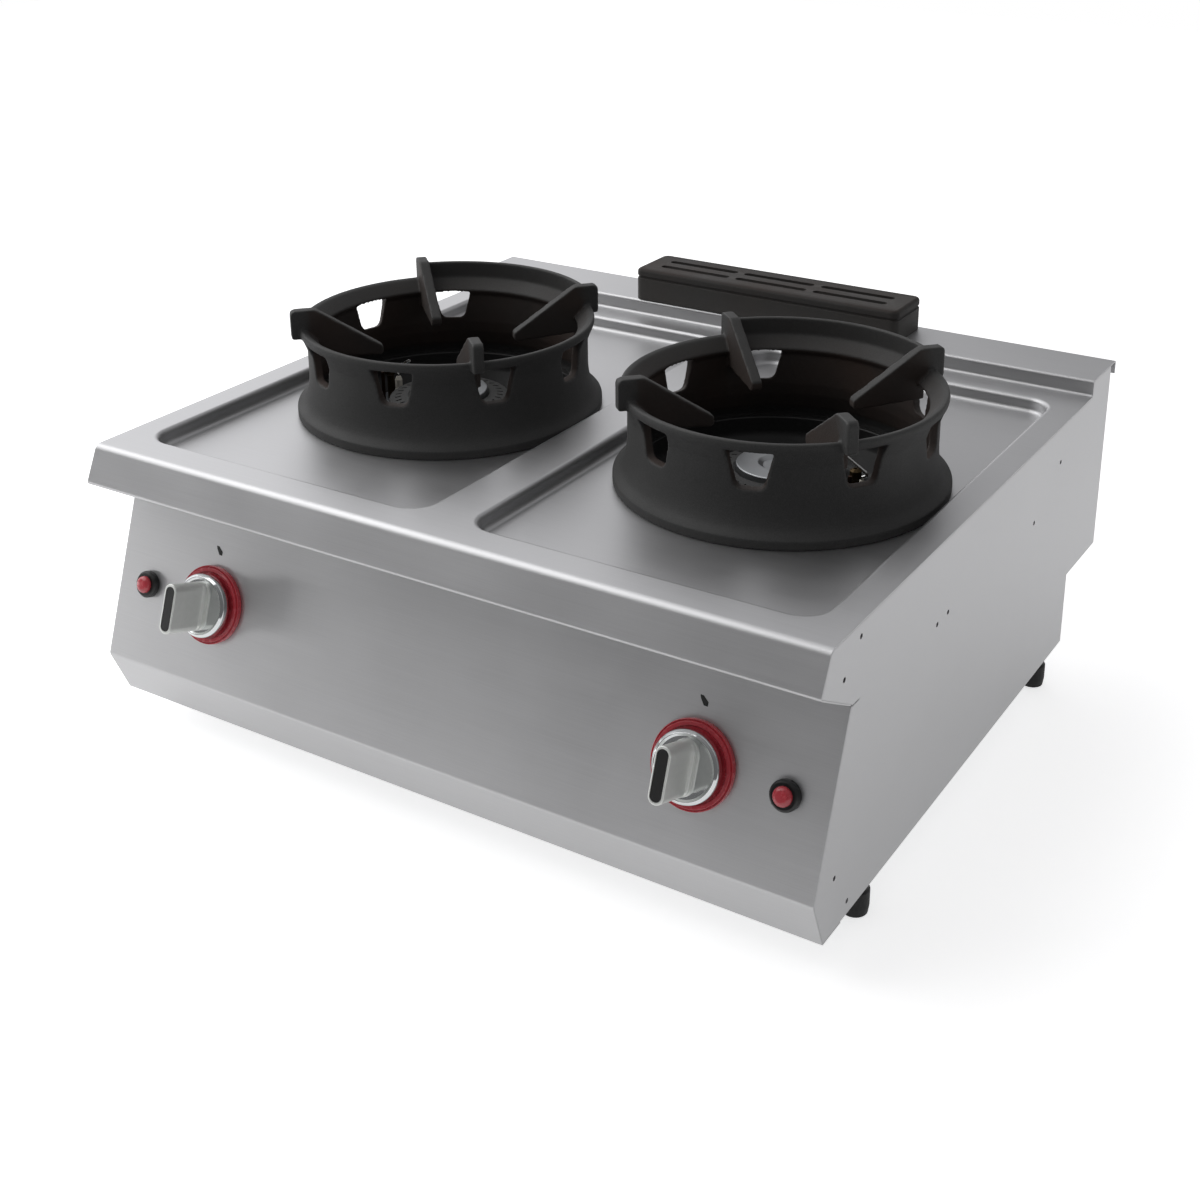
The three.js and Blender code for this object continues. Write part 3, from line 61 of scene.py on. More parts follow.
NOSE_FOOT = (-17.4, -36.0)
PANEL_TOP = (40.4, -69.5)
PANEL_FOOT = (-15.8, -226.5)
KICK_FOOT = (5.0, -276.0)
BOTTOM_FOLD = 35.0
REAR_LOWER = 602.0
STEP = -193.6
REAR_UPPER = 695.8
UPSTAND = (636.0, 18.0)
LIP = 712.6
LIP_DROP = 15.0
BASE = -274.2

WELL_X = 198.0
WELL_FRONT = 34.0
WELL_BACK = 604.0
WELL_WIDTH = 352.0
WELL_CORNER = 30.0
WELL_DEPTH = 16.0
EDGE_BEND = 5.0
FLOOR_BEND = 6.0
OPENING = 138.0
COLLAR = 8.0
BURNER_Y = 307.0

FLUE_X = 4.5
FLUE_LENGTH = 340.0
FLUE_DEPTH = 72.0
FLUE_HEIGHT = 37.5
FLUE_WALL = 5.0
FLUE_CORNER = 9.0
FLUE_EDGE = 4.0
FLUE_SLOT = (92.0, 9.0)
FLUE_SLOT_STEP = (101.0, 11.0)
FLUE_OPENING = (290.0, 40.0)

CONTROL_DOWN = 84.5
KNOB_X = 274.0
IGNITER_X = 360.0
STEM_HOLE = 7.0
IGNITER_HOLE = 11.1

FOOT_X = 384.0
FOOT_FRONT = 106.0
FOOT_REAR = 564.0
FOOT_HEIGHT = 38.0

SIDES = (("left", -1), ("right", 1))

# The casing's origin: the worktop's lip is its rearmost part and the ledge its highest.
worktop_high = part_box("worktop")[1]
ORIGIN = Vector((0, worktop_high.y - LIP * MM, worktop_high.z - UPSTAND[1] * MM))


def place(point):
    """A point of the casing, in millimetres, as the row frame has it in metres."""
    return Vector(point) * MM + ORIGIN


# ---------------------------------------------------------------- materials


def linear(code, alpha=1.0):
    """An sRGB hex colour as a linear RGBA tuple."""
    shares = [int(code[i:i + 2], 16) / 255 for i in (1, 3, 5)]
    curve = [s / 12.92 if s <= 0.04045 else ((s + 0.055) / 1.055) ** 2.4 for s in shares]
    return (*curve, alpha)


def add(tree, kind, inputs=None, **settings):
    """Adds one node with its settings. An input takes a value, a node's first output or a socket."""
    node = tree.nodes.new("ShaderNode" + kind)
    for name, value in settings.items():
        setattr(node, name, value)
    for name, value in (inputs or {}).items():
        if isinstance(value, bpy.types.Node):
            value = value.outputs[0]
        if isinstance(value, bpy.types.NodeSocket):
            tree.links.new(value, node.inputs[name])
        else:
            node.inputs[name].default_value = value
    return node


def surface(name, build, **shader):
    """A material whose build function returns what is linked to the shader's sockets."""
    material = bpy.data.materials.new(name)
    material.use_nodes = True
    tree = material.node_tree
    tree.nodes.clear()
    settings = dict(shader)
    settings.update(build(tree))
    names = {key: key.replace("_", " ") for key in settings}
    principled = add(tree, "BsdfPrincipled", {names[k]: v for k, v in settings.items()})
    add(tree, "OutputMaterial", {"Surface": principled})
    return material


def speckle(tree, dark, light, size, roughness, spread, bump=0.0, stretch=(1, 1, 1)):
    """Colour and roughness that wander between two values, on patches of one size in millimetres."""
    where = add(tree, "TexCoord").outputs["Object"]
    scaled = add(tree, "Mapping", {"Vector": where, "Scale": [s / (size * MM) for s in stretch]})
    noise = add(tree, "TexNoise", {"Vector": scaled, "Scale": 1.0, "Detail": 4.0, "Roughness": 0.6})
    colour = add(tree, "MixRGB", {"Fac": noise, "Color1": linear(dark), "Color2": linear(light)})
    rough = add(tree, "MapRange", {
        "Value": noise, "From Min": 0.3, "From Max": 0.7,
        "To Min": roughness - spread, "To Max": roughness + spread})
    found = {"Base_Color": colour.outputs["Color"], "Roughness": rough}
    if bump:
        found["Normal"] = add(tree, "Bump", {
            "Height": noise, "Strength": 1.0, "Distance": bump * MM}).outputs["Normal"]
    return found


def brushed(tree, dark, light, roughness):
    """Fine scratches of the rolled sheet that run along X, over slow clouds of the finish."""
    where = add(tree, "TexCoord").outputs["Object"]
    lines = add(tree, "Mapping", {"Vector": where, "Scale": (9.0, 1600.0, 1600.0)})
    grain = add(tree, "TexNoise", {"Vector": lines, "Scale": 1.0, "Detail": 3.0, "Roughness": 0.7})
    clouds = add(tree, "TexNoise", {"Vector": where, "Scale": 9.0, "Detail": 3.0})
    mix = add(tree, "MixRGB", {"Fac": 0.35, "Color1": grain, "Color2": clouds})
    colour = add(tree, "MixRGB", {
        "Fac": mix.outputs["Color"], "Color1": linear(dark), "Color2": linear(light)})
    rough = add(tree, "MapRange", {
        "Value": mix.outputs["Color"], "From Min": 0.3, "From Max": 0.7,
        "To Min": roughness - 0.06, "To Max": roughness + 0.06})
    relief = add(tree, "Bump", {"Height": grain, "Strength": 0.35, "Distance": 0.02 * MM})
    return {
        "Base_Color": colour.outputs["Color"], "Roughness": rough,
        "Normal": relief.outputs["Normal"]}


def cast_iron(tree):
    """Grain of the sand mould, paler on its sharp edges, where worn and as a painted highlight, and
    brown-black where its attribute says: burnt by the flame, and painted shade.
    """
    where = add(tree, "TexCoord").outputs["Object"]
    grain = add(tree, "TexNoise", {
        "Vector": where, "Scale": 1 / (1.1 * MM), "Detail": 5.0, "Roughness": 0.65})
    lumps = add(tree, "TexNoise", {"Vector": where, "Scale": 1 / (8 * MM), "Detail": 3.0})
    clouds = add(tree, "TexNoise", {"Vector": where, "Scale": 1 / (70 * MM), "Detail": 4.0})
    iron = add(tree, "MixRGB", {"Fac": grain, "Color1": linear("#282828"), "Color2": linear("#4a4a49")})
    # Paler on sharp edges: wear of the iron, and also a painted highlight along them.
    edge = add(tree, "MapRange", {
        "Value": add(tree, "NewGeometry").outputs["Pointiness"],
        "From Min": 0.52, "From Max": 0.58, "To Min": 0.0, "To Max": 0.55})
    worn_and_highlit = add(tree, "MixRGB", {
        "Fac": edge, "Color1": iron.outputs["Color"], "Color2": linear("#6a6a68")})
    # Darkened to brown-black by the mesh's attribute: heat burn, and painted shade inside the ring, on
    # the ribs' sides and on the flue cover's top.
    burn_and_shade = add(tree, "Attribute", attribute_name="burn_and_shade").outputs["Fac"]
    patchy = add(tree, "MapRange", {
        "Value": clouds, "From Min": 0.35, "From Max": 0.65, "To Min": 0.75, "To Max": 1.0})
    amount = add(tree, "Math", {0: burn_and_shade, 1: patchy}, operation="MULTIPLY")
    burnt_and_shaded = add(tree, "MixRGB", {
        "Fac": clouds, "Color1": linear("#1c1918"), "Color2": linear("#46372f")})
    colour = add(tree, "MixRGB", {
        "Fac": amount, "Color1": worn_and_highlit.outputs["Color"], "Color2": burnt_and_shaded.outputs["Color"]})
    height = add(tree, "MixRGB", {"Fac": 0.4, "Color1": grain, "Color2": lumps})
    relief = add(tree, "Bump", {
        "Height": height.outputs["Color"], "Strength": 0.8, "Distance": 0.5 * MM})
    rough = add(tree, "MapRange", {"Value": clouds, "To Min": 0.55, "To Max": 0.8})
    return {
        "Base_Color": colour.outputs["Color"], "Roughness": rough,
        "Normal": relief.outputs["Normal"]}


# Cold-rolled stainless sheet, line brushed: soft reflections drawn out across the lines.
STEEL = surface("stainless_brushed", lambda t: brushed(t, "#b4b4b5", "#d2d2d3", 0.46),
                Metallic=1.0)
# The same sheet as rolled, unbrushed, inside and under the casing.
MILL_STEEL = surface("stainless_mill_finish",
                     lambda t: speckle(t, "#9a9c9e", "#b4b6b8", 30, 0.42, 0.05), Metallic=1.0)
# The duct's sheet, tinted straw and brown by the waste heat.
TINTED_STEEL = surface("stainless_heat_tinted",
                       lambda t: speckle(t, "#2a2623", "#4a423a", 40, 0.45, 0.06), Metallic=1.0)
# Grey iron cast in sand and blacked: matt, with a fine grain that catches small glints.
IRON = surface("cast_iron_sand_cast", cast_iron)
# The flue cover is the same iron, matt, darkened over all and more on its top, where the extra is
# painted shade, so that it stays nearly black.
COVER_IRON = surface("cast_iron_washed_black", cast_iron, Specular_IOR_Level=0.25)
# Iron with a fired black enamel: nearly black, smoother, with a soft sheen.
ENAMEL = surface("enamelled_iron",
                 lambda t: speckle(t, "#1e1e1e", "#303030", 3, 0.45, 0.08, 0.08))
# Die-cast zinc with bright chromium plate: mirrors the room.
CHROME = surface("zinc_chrome_plated",
                 lambda t: speckle(t, "#c9cbcc", "#dcdede", 8, 0.1, 0.04), Metallic=1.0)
# The grip's chrome is made pale and part diffuse, so that its flanks look lit: a painted highlight that
# stands in for light from the right.
PALE_LIT_CHROME = surface("zinc_chrome_painted_pale",
                       lambda t: speckle(t, "#e4e6e2", "#f2f4f0", 5, 0.42, 0.05), Metallic=0.55)
# Moulded ABS, through-coloured red, with the mould's gloss.
RED = surface("abs_gloss_red", lambda t: speckle(t, "#c03642", "#d04852", 6, 0.26, 0.05),
              Coat_Weight=0.4, Coat_Roughness=0.12)
# Moulded ABS, black, slightly matt.
BLACK = surface("abs_black", lambda t: speckle(t, "#101010", "#1d1d1d", 2, 0.42, 0.08, 0.02))
# Glass-filled nylon of the feet, matt black.
NYLON = surface("nylon_glass_filled", lambda t: speckle(t, "#0e0e0e", "#1a1a1a", 2, 0.6, 0.08, 0.05))
# Turned brass: yellow metal with fine tool marks.
BRASS = surface("brass_turned", lambda t: speckle(t, "#a8823e", "#c2a058", 6, 0.32, 0.08),
                Metallic=1.0)
# Zinc-plated steel: grey with a slight blotch.
ZINC = surface("steel_zinc_plated", lambda t: speckle(t, "#8c9094", "#a8acb0", 10, 0.42, 0.08),
               Metallic=1.0)
# Drawn copper pipe, a little dulled.
COPPER = surface("copper_drawn", lambda t: speckle(t, "#8e5236", "#b87454", 12, 0.36, 0.08),
                 Metallic=1.0)
# The same brass and copper beside the flame, darkened by years of heat.
BRASS_BURNT = surface("brass_heat_darkened", lambda t: speckle(t, "#2e261c", "#54452e", 4, 0.5, 0.08),
                      Metallic=1.0)
COPPER_BURNT = surface("copper_heat_darkened",
                       lambda t: speckle(t, "#2c211b", "#4c372c", 6, 0.5, 0.08), Metallic=1.0)
# Drawn resistance wire of the spark tip, bright.
WIRE = surface("steel_wire_drawn", lambda t: speckle(t, "#b8b8b6", "#d8d8d6", 2, 0.25, 0.05),
               Metallic=1.0)
# Fired white ceramic of the spark electrode.
CERAMIC = surface("ceramic_glazed", lambda t: speckle(t, "#dcd6c8", "#ece8de", 3, 0.35, 0.08))
# Silicone sleeve of the ignition lead.
SILICONE = surface("silicone_extruded", lambda t: speckle(t, "#7a2020", "#8e2c2c", 4, 0.6, 0.08))
# Screen-printed ink of the index marks.
INK = surface("ink_screen_printed", lambda t: speckle(t, "#161616", "#202020", 1, 0.6, 0.05))


# ---------------------------------------------------------------- outlines


def bent(corners, steps=8):
    """A polyline of (u, v) or (u, v, radius) corners, with each radius turned into a bend."""
    points = []
    for i, corner in enumerate(corners):
        here = Vector(corner[:2])
        radius = corner[2] if len(corner) > 2 else 0
        if radius == 0 or i in (0, len(corners) - 1):
            points.append(here)
            continue
        before = (Vector(corners[i - 1][:2]) - here).normalized()
        after = (Vector(corners[i + 1][:2]) - here).normalized()
        half = before.angle(after) / 2
        centre = here + (before + after).normalized() * radius / math.sin(half)
        start = here + before * radius / math.tan(half) - centre
        turn = math.pi - 2 * half
        if before.x * after.y - before.y * after.x > 0:
            turn = -turn
        for k in range(steps + 1):
            points.append(Matrix.Rotation(turn * k / steps, 2) @ start + centre)
    return points


def loop_of(corners, steps=4):
    """The same for a closed outline."""
    count = len(corners)
    ring = [corners[(i - 1) % count] for i in range(count + 2)]
    return bent(ring, steps)[1:-1]


def rectangle(width, depth, radius, steps=10, centre=(0, 0)):
    """A closed outline of a rounded rectangle, anticlockwise."""
    points = []
    for corner in range(4):
        x = width / 2 - radius if corner in (0, 3) else radius - width / 2
        y = depth / 2 - radius if corner < 2 else radius - depth / 2
        for i in range(steps + 1):
            angle = (corner + i / steps) * math.pi / 2
            points.append(Vector((
                centre[0] + x + radius * math.cos(angle),
                centre[1] + y + radius * math.sin(angle))))
    return points


def circle(radius, sides=48, centre=(0, 0)):
    return [
        Vector((
            centre[0] + radius * math.cos(2 * math.pi * i / sides),
            centre[1] + radius * math.sin(2 * math.pi * i / sides)))
        for i in range(sides)]


def shifted(points, distance):
    """A path moved to its right-hand side, mitred at its corners."""
    moved = []
    for i, point in enumerate(points):
        normals = []
        for a, b in ((i - 1, i), (i, i + 1)):
            if a < 0 or b >= len(points):
                continue
            run = (points[b] - points[a]).normalized()
            normals.append(Vector((run.y, -run.x)))
        total = sum(normals, Vector((0, 0)))
        moved.append(point + total * distance * len(normals) / total.length_squared)
    return moved


# ---------------------------------------------------------------- mesh building


def face_loops(bm, loops):
    """Fills a flat outline, given as 3-D loops with its holes after it."""
    verts = [[bm.verts.new(p) for p in loop] for loop in loops]
    flat = [v for loop in verts for v in loop]
    for triple in tessellate_polygon([[v.co for v in loop] for loop in verts]):
        bm.faces.new([flat[i] for i in triple])


def skin(bm, rows, closed):
    """Joins rows of 3-D points, one after another, with quads. A closed row meets its start."""
    verts = [[bm.verts.new(p) for p in row] for row in rows]
    for low, high in zip(verts, verts[1:]):
        count = len(low)
        for i in range(count if closed else count - 1):
            j = (i + 1) % count
            bm.faces.new((low[i], low[j], high[j], high[i]))


def fold(bm, path, half, holes=(), steps_across=1):
    """A sheet folded along X. path is its (y, z) line; each hole is a 3-D loop on a flat run."""
    for a, b in zip(path, path[1:]):
        inside = []
        for hole in holes:
            point = Vector(hole[0][1:]) - a
            run = b - a
            share = point.dot(run) / run.length_squared
            if 0 < share < 1 and (point - run * share).length < 0.01:
                inside.append(hole)
        left = [Vector((-half, p.x, p.y)) for p in (a, b)]
        right = [Vector((half, p.x, p.y)) for p in (a, b)]
        if inside:
            face_loops(bm, [[left[0], right[0], right[1], left[1]], *inside])
        else:
            skin(bm, [
                [left[0].lerp(right[0], i / steps_across) for i in range(steps_across + 1)],
                [left[1].lerp(right[1], i / steps_across) for i in range(steps_across + 1)],
            ], False)


def turned(bm, profile, sides=96, closed=False, arc=1.0):
    """Revolves (radius, height) points about Z. Points on the axis close the shape."""
    rows = []
    for i in range(sides + (0 if arc == 1.0 else 1)):
        angle = 2 * math.pi * arc * i / sides
        rows.append([Vector((r * math.cos(angle), r * math.sin(angle), z)) for r, z in profile])
    if arc == 1.0:
        rows.append(rows[0])
    skin(bm, rows, closed)


def stack(bm, levels):
    """Joins closed (x, y) outlines of equal counts at rising heights: [(outline, z), ...]."""
    rows = [[Vector((p.x, p.y, z)) for p in outline] for outline, z in levels]
    skin(bm, rows, True)
    face_loops(bm, [rows[0]])
    face_loops(bm, [rows[-1]])


def mesh_of(name, build, facing=None, weld=0.002):
    """Runs build on a new mesh, welds it and points its faces outwards.

    An open sheet has no outside: its faces are made to look along facing on the whole instead.
    """
    bm = bmesh.new()
    build(bm)
    bmesh.ops.remove_doubles(bm, verts=bm.verts[:], dist=weld)
    bmesh.ops.dissolve_degenerate(bm, edges=bm.edges[:], dist=weld / 2)
    bmesh.ops.recalc_face_normals(bm, faces=bm.faces[:])
    if facing:
        view = sum((f.normal * f.calc_area() for f in bm.faces), Vector())
        if view.dot(Vector(facing)) < 0:
            bmesh.ops.reverse_faces(bm, faces=bm.faces[:])
    mesh = bpy.data.meshes.new(name)
    bm.to_mesh(mesh)
    bm.free()
    return mesh


def settled(obj):
    """Applies an object's modifiers to its mesh."""
    bpy.context.view_layer.update()
    graph = bpy.context.evaluated_depsgraph_get()
    mesh = bpy.data.meshes.new_from_object(obj.evaluated_get(graph))
    obj.modifiers.clear()
    obj.data = mesh
    return obj


def modified(obj, kind, **settings):
    modifier = obj.modifiers.new(kind.lower(), kind)
    for key, value in settings.items():
        setattr(modifier, key, value)
    return obj


def shaded(obj, angle=32):
    """Smooth over bends flatter than the angle, with flat faces kept flat."""
    obj.data.shade_smooth()
    obj.data.set_sharp_from_angle(angle=math.radians(angle))
    return modified(obj, "WEIGHTED_NORMAL", mode="FACE_AREA", weight=50, keep_sharp=True)


def piece(name, mesh, material, body, nodes=(), where=None, bevel=0.0,
          thickness=0.0, angle=32):
    """A shown piece: its mesh in millimetres, finish, CAD body and the CAD nodes it stands for."""
    obj = bpy.data.objects.new(name, mesh)
    bpy.context.scene.collection.objects.link(obj)
    frame_in_casing = where or Matrix.Identity(4)
    mesh.transform(Matrix.Translation(ORIGIN) @ Matrix.Scale(MM, 4) @ frame_in_casing)
    mesh.materials.clear()
    for one in material if isinstance(material, (list, tuple)) else [material]:
        mesh.materials.append(one)
    if thickness:
        modified(obj, "SOLIDIFY", thickness=thickness * MM, offset=-1, use_even_offset=True)
    if bevel:
        modified(obj, "BEVEL", width=bevel * MM, segments=2, limit_method="ANGLE",
                 angle_limit=math.radians(40), harden_normals=False)
    if thickness or bevel:
        settled(obj)
    shaded(obj, angle)
    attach(obj, body)
    if nodes:
        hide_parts(*nodes)
    return obj


# The control panel's frame: +Z out of its face and +Y up it.
PANEL_UP = (Vector(PANEL_TOP) - Vector(PANEL_FOOT)).normalized()
CONTROL = Vector(PANEL_TOP) - PANEL_UP * CONTROL_DOWN


def on_panel(x):
    """The frame of a control on the panel's face."""
    turn = math.atan2(PANEL_UP.y, PANEL_UP.x)
    return Matrix.Translation((x, CONTROL.x, CONTROL.y)) @ Matrix.Rotation(turn, 4, "X")


def panel_loop(outline, x):
    """An outline drawn on the panel's face, as a 3-D loop in the casing."""
    return [on_panel(x) @ Vector((p.x, p.y, 0)) for p in outline]


# ---------------------------------------------------------------- casing


def well_outline(inset):
    return rectangle(
        WELL_WIDTH - 2 * inset, WELL_BACK - WELL_FRONT - 2 * inset, WELL_CORNER - inset)


def build_worktop(bm):
    fold_z = PANEL_TOP[1] + GAP
    share = (fold_z - NOSE_FOOT[1]) / (PANEL_TOP[1] - NOSE_FOOT[1])
    fold_y = NOSE_FOOT[0] + share * (PANEL_TOP[0] - NOSE_FOOT[0])
    path = bent([
        (fold_y, fold_z), (*NOSE_FOOT, 3), (0, 0, 9), (UPSTAND[0], 0, 4), (*UPSTAND, 4),
        (LIP, UPSTAND[1], 3), (LIP, UPSTAND[1] - LIP_DROP)])
    middle = (WELL_FRONT + WELL_BACK) / 2
    holes = []
    for _, side in SIDES:
        shift = Vector((side * WELL_X, middle, 0))
        holes.append([Vector((*p, 0)) + shift for p in well_outline(0)])
        # Edge bend, wall and floor bend of the well, from the worktop down.
        rows = []
        for i in range(7):
            angle = i / 6 * math.pi / 2
            rows.append((EDGE_BEND * math.sin(angle), -EDGE_BEND * (1 - math.cos(angle))))
        for i in range(7):
            angle = i / 6 * math.pi / 2
            rows.append((
                EDGE_BEND + FLOOR_BEND * (1 - math.cos(angle)),
                -WELL_DEPTH + FLOOR_BEND * (1 - math.sin(angle))))
        loops = [[Vector((*p, z)) + shift for p in well_outline(inset)] for inset, z in rows]
        skin(bm, loops, True)
        # The floor, then the collar that turns up round the burner's opening.
        wall = OPENING + SHEET
        bend = 3.0
        axis = Vector((side * WELL_X, BURNER_Y, -WELL_DEPTH))
        collar = []
        for i in range(7):
            angle = i / 6 * math.pi / 2
            collar.append((wall + bend * (1 - math.sin(angle)), bend * (1 - math.cos(angle))))
        collar.append((wall, COLLAR))
        rings = [[axis + Vector((p.x, p.y, z)) for p in circle(r, 96)] for r, z in collar]
        face_loops(bm, [loops[-1], rings[0]])
        skin(bm, rings, True)
    flue_y = (UPSTAND[0] + REAR_UPPER) / 2
    holes.append([
        Vector((*p, UPSTAND[1])) for p in rectangle(*FLUE_OPENING, 3, 4, (FLUE_X, flue_y))])
    fold(bm, path, HALF, holes)


# Holes through which neighbouring units are bolted together: (y, drop below the worktop).
SIDE_HOLES = ((54, 13), (25, 38), (220, 79), (245, 78), (23, 221), (51, 261), (472, 81), (543, 41))


def build_side(bm):
    skin_line = bent([
        (REAR_UPPER, UPSTAND[1]), (*UPSTAND, 4), (UPSTAND[0], 0, 4), (0, 0, 9),
        (*NOSE_FOOT, 3), PANEL_TOP, (*PANEL_FOOT, 6), KICK_FOOT])
    outline = shifted(skin_line, -SHEET - 0.1)
    kick = outline[-1] - outline[-2]
    outline[-1] = outline[-2] + kick * (BASE - outline[-2].y) / kick.y
    outline += [Vector((REAR_LOWER, BASE)), Vector((REAR_LOWER, STEP)), Vector((REAR_UPPER, STEP))]
    holes = [circle(2.4, 24, (y, -drop)) for y, drop in SIDE_HOLES]
    face_loops(bm, [[Vector((0, p.x, p.y)) for p in loop] for loop in [outline, *holes]])


def build_control_panel(bm):
    path = bent([
        (PANEL_TOP[0] + 16, PANEL_TOP[1]), (*PANEL_TOP, 2), (*PANEL_FOOT, 6),
        (*KICK_FOOT, 3), (KICK_FOOT[0] + BOTTOM_FOLD, KICK_FOOT[1])])
    holes = []
    for _, side in SIDES:
        holes.append(panel_loop(circle(STEM_HOLE, 32), side * KNOB_X))
        holes.append(panel_loop(circle(IGNITER_HOLE, 32), side * IGNITER_X))
    fold(bm, path, HALF, holes)


piece("worktop_sheet", mesh_of("worktop_sheet", build_worktop, (0, 0, 1)), STEEL, "casing",
      ["worktop"], thickness=SHEET, bevel=0.3)
for name, side in SIDES:
    mesh = mesh_of(f"side_sheet_{name}", build_side, (side, 0, 0))
    mesh.transform(Matrix.Translation((side * HALF, 0, 0)))
    piece(f"side_sheet_{name}", mesh, STEEL, "casing", [f"side_panel_{name}"],
          thickness=SHEET, bevel=0.25)
piece("control_sheet", mesh_of("control_sheet", build_control_panel, (0, -1, 0)), STEEL,
      "casing", ["control_panel"], thickness=SHEET, bevel=0.3)

# ---------------------------------------------------------------- wok rings

RING_SHIFT = 2.5
RING_SEAT = -WELL_DEPTH + GAP
RIM = 155.0
WAIST = 147.5
WALL = 8.0
TOP = 98.0
SHIELD_TOP = TOP + 16.0
SHIELD_WALL = 6.5
WINDOW_TOP = TOP - 11.0
WINDOW_FOOT = 49.0
WINDOW_TOP_WIDTH = 45.0
WINDOW_FOOT_WIDTH = 28.0
WINDOW_DRAFT = 3.0
RIB_TOP = TOP + 20.5
RIB_OUTER = 163.5
RIB_LEVEL = 138.0
RIB_INNER = 70.0
RIB_INNER_TOP = 73.0
RIB_INNER_FOOT = 63.0
RIB_THICKNESS = 11.0
RIB_ANGLES = [-132 + 90 * i for i in range(4)]
WINDOW_ANGLES = [-114.5 + 40 * i for i in range(9) if i != 5]


def ring_profile():
    """The cast wall: foot, flare, waist, stepped rim with its sloped ledge, and the inside."""
    outside = [(162, 0), (162, 9)]
    for i in range(1, 9):
        angle = i / 8 * math.pi / 2
        outside.append((159 - 11.5 * math.sin(angle), 12 + 34 * (1 - math.cos(angle))))
    outside += [(WAIST, 70), (WAIST + 0.4, 74), (152, 85), (154.4, 90), (155, 93), (154.6, 95.6)]
    inside = [
        (153.5, 97.5), (148.5, 96), (136.5, 84), (137.4, 81), (139.5, 78), (139.5, 46),
        (141, 34), (145, 20), (151, 9), (151, 0)]
    return outside + inside


def build_ring(bm):
    turned(bm, ring_profile(), 144, True)


def build_shield(bm):
    turned(bm, [
        (RIM - 1.5, 92), (RIM - 1.5, SHIELD_TOP - 1), (RIM - 2.5, SHIELD_TOP),
        (RIM - SHIELD_WALL + 1, SHIELD_TOP), (RIM - SHIELD_WALL, SHIELD_TOP - 1),
        (RIM - SHIELD_WALL, 92)], 36, True, arc=0.25)
    bm.verts.ensure_lookup_table()
    for i in (0, 36):
        bm.faces.new(bm.verts[i * 6:i * 6 + 6])


def build_window(bm):
    """A window's cutter along +X, narrower inside than outside."""
    top = WINDOW_TOP_WIDTH / 2
    foot = WINDOW_FOOT_WIDTH / 2

    def section(draft):
        return loop_of([
            (draft - top, WINDOW_TOP - 2 * draft, 1.5), (draft - foot, WINDOW_FOOT + draft, 8),
            (foot - draft, WINDOW_FOOT + draft, 8), (top - draft, WINDOW_TOP - 2 * draft, 1.5)], 5)
    rows = []
    for draft, x in ((WINDOW_DRAFT, WAIST - WALL - 4), (0, WAIST), (0, WAIST + 12)):
        rows.append([Vector((x, p.x, p.y)) for p in section(draft)])
    skin(bm, rows, True)
    face_loops(bm, [rows[0]])
    face_loops(bm, [rows[-1]])


def build_rib(bm):
    wall = WAIST - WALL / 2
    outline = loop_of([
        (wall, 87.5), (RIB_OUTER, 87.5, 3), (RIB_OUTER, RIB_TOP, 5), (RIB_LEVEL, RIB_TOP, 9),
        (RIB_INNER, RIB_INNER_TOP, 4), (RIB_INNER, RIB_INNER_FOOT, 4), (wall, 67.5)], 6)
    half = RIB_THICKNESS / 2
    rows = [[Vector((p.x, y, p.y)) for p in outline] for y in (-half, half)]
    skin(bm, rows, True)
    face_loops(bm, [rows[0]])
    face_loops(bm, [rows[1]])


def joined(objects, operation, target):
    """Adds or cuts the objects from the target, then removes them."""
    for obj in objects:
        modified(target, "BOOLEAN", operation=operation, object=obj, solver="EXACT")
        settled(target)
        bpy.data.objects.remove(obj)
    return target


def loose(name, mesh):
    obj = bpy.data.objects.new(name, mesh)
    bpy.context.scene.collection.objects.link(obj)
    return obj


def spun(mesh, angle):
    mesh.transform(Matrix.Rotation(math.radians(angle), 4, "Z"))
    return mesh


def burn_and_shade_at(point):
    """How dark a point of the ring is made: the inside fully, as burn and painted shade, the ribs'
    sides as painted shade, the ledge partly.
    """
    radius = math.hypot(point.x, point.y)
    turn = math.atan2(point.y, point.x)
    off_rib = min(
        radius * abs(math.sin(turn - math.radians(a)))
        for a in RIB_ANGLES if math.cos(turn - math.radians(a)) > 0)
    if off_rib < 6.5 and RIB_INNER < radius < 146:
        # The ribs' tops stay paler, where the wok rubs them and as a painted highlight; their sides get
        # painted shade.
        share = min(1, (radius - RIB_INNER) / (RIB_LEVEL - RIB_INNER))
        top = RIB_INNER_TOP + share * (RIB_TOP - RIB_INNER_TOP)
        return 0.1 if point.z > top - 1.5 else 0.85
    if 83 < point.z and radius > 135:
        return 0.3 * min(1, max(0, (150 - radius) / 5))
    return min(1, max(0, (147.4 - radius) / 2))


def with_burn_and_shade(mesh, amount):
    """Stores how dark each point is made, heat burn and painted shade together, which the iron's
    material reads.
    """
    burn_and_shade = mesh.attributes.new("burn_and_shade", "FLOAT", "POINT")
    burn_and_shade.data.foreach_set("value", [amount(v.co) for v in mesh.vertices])
    return mesh


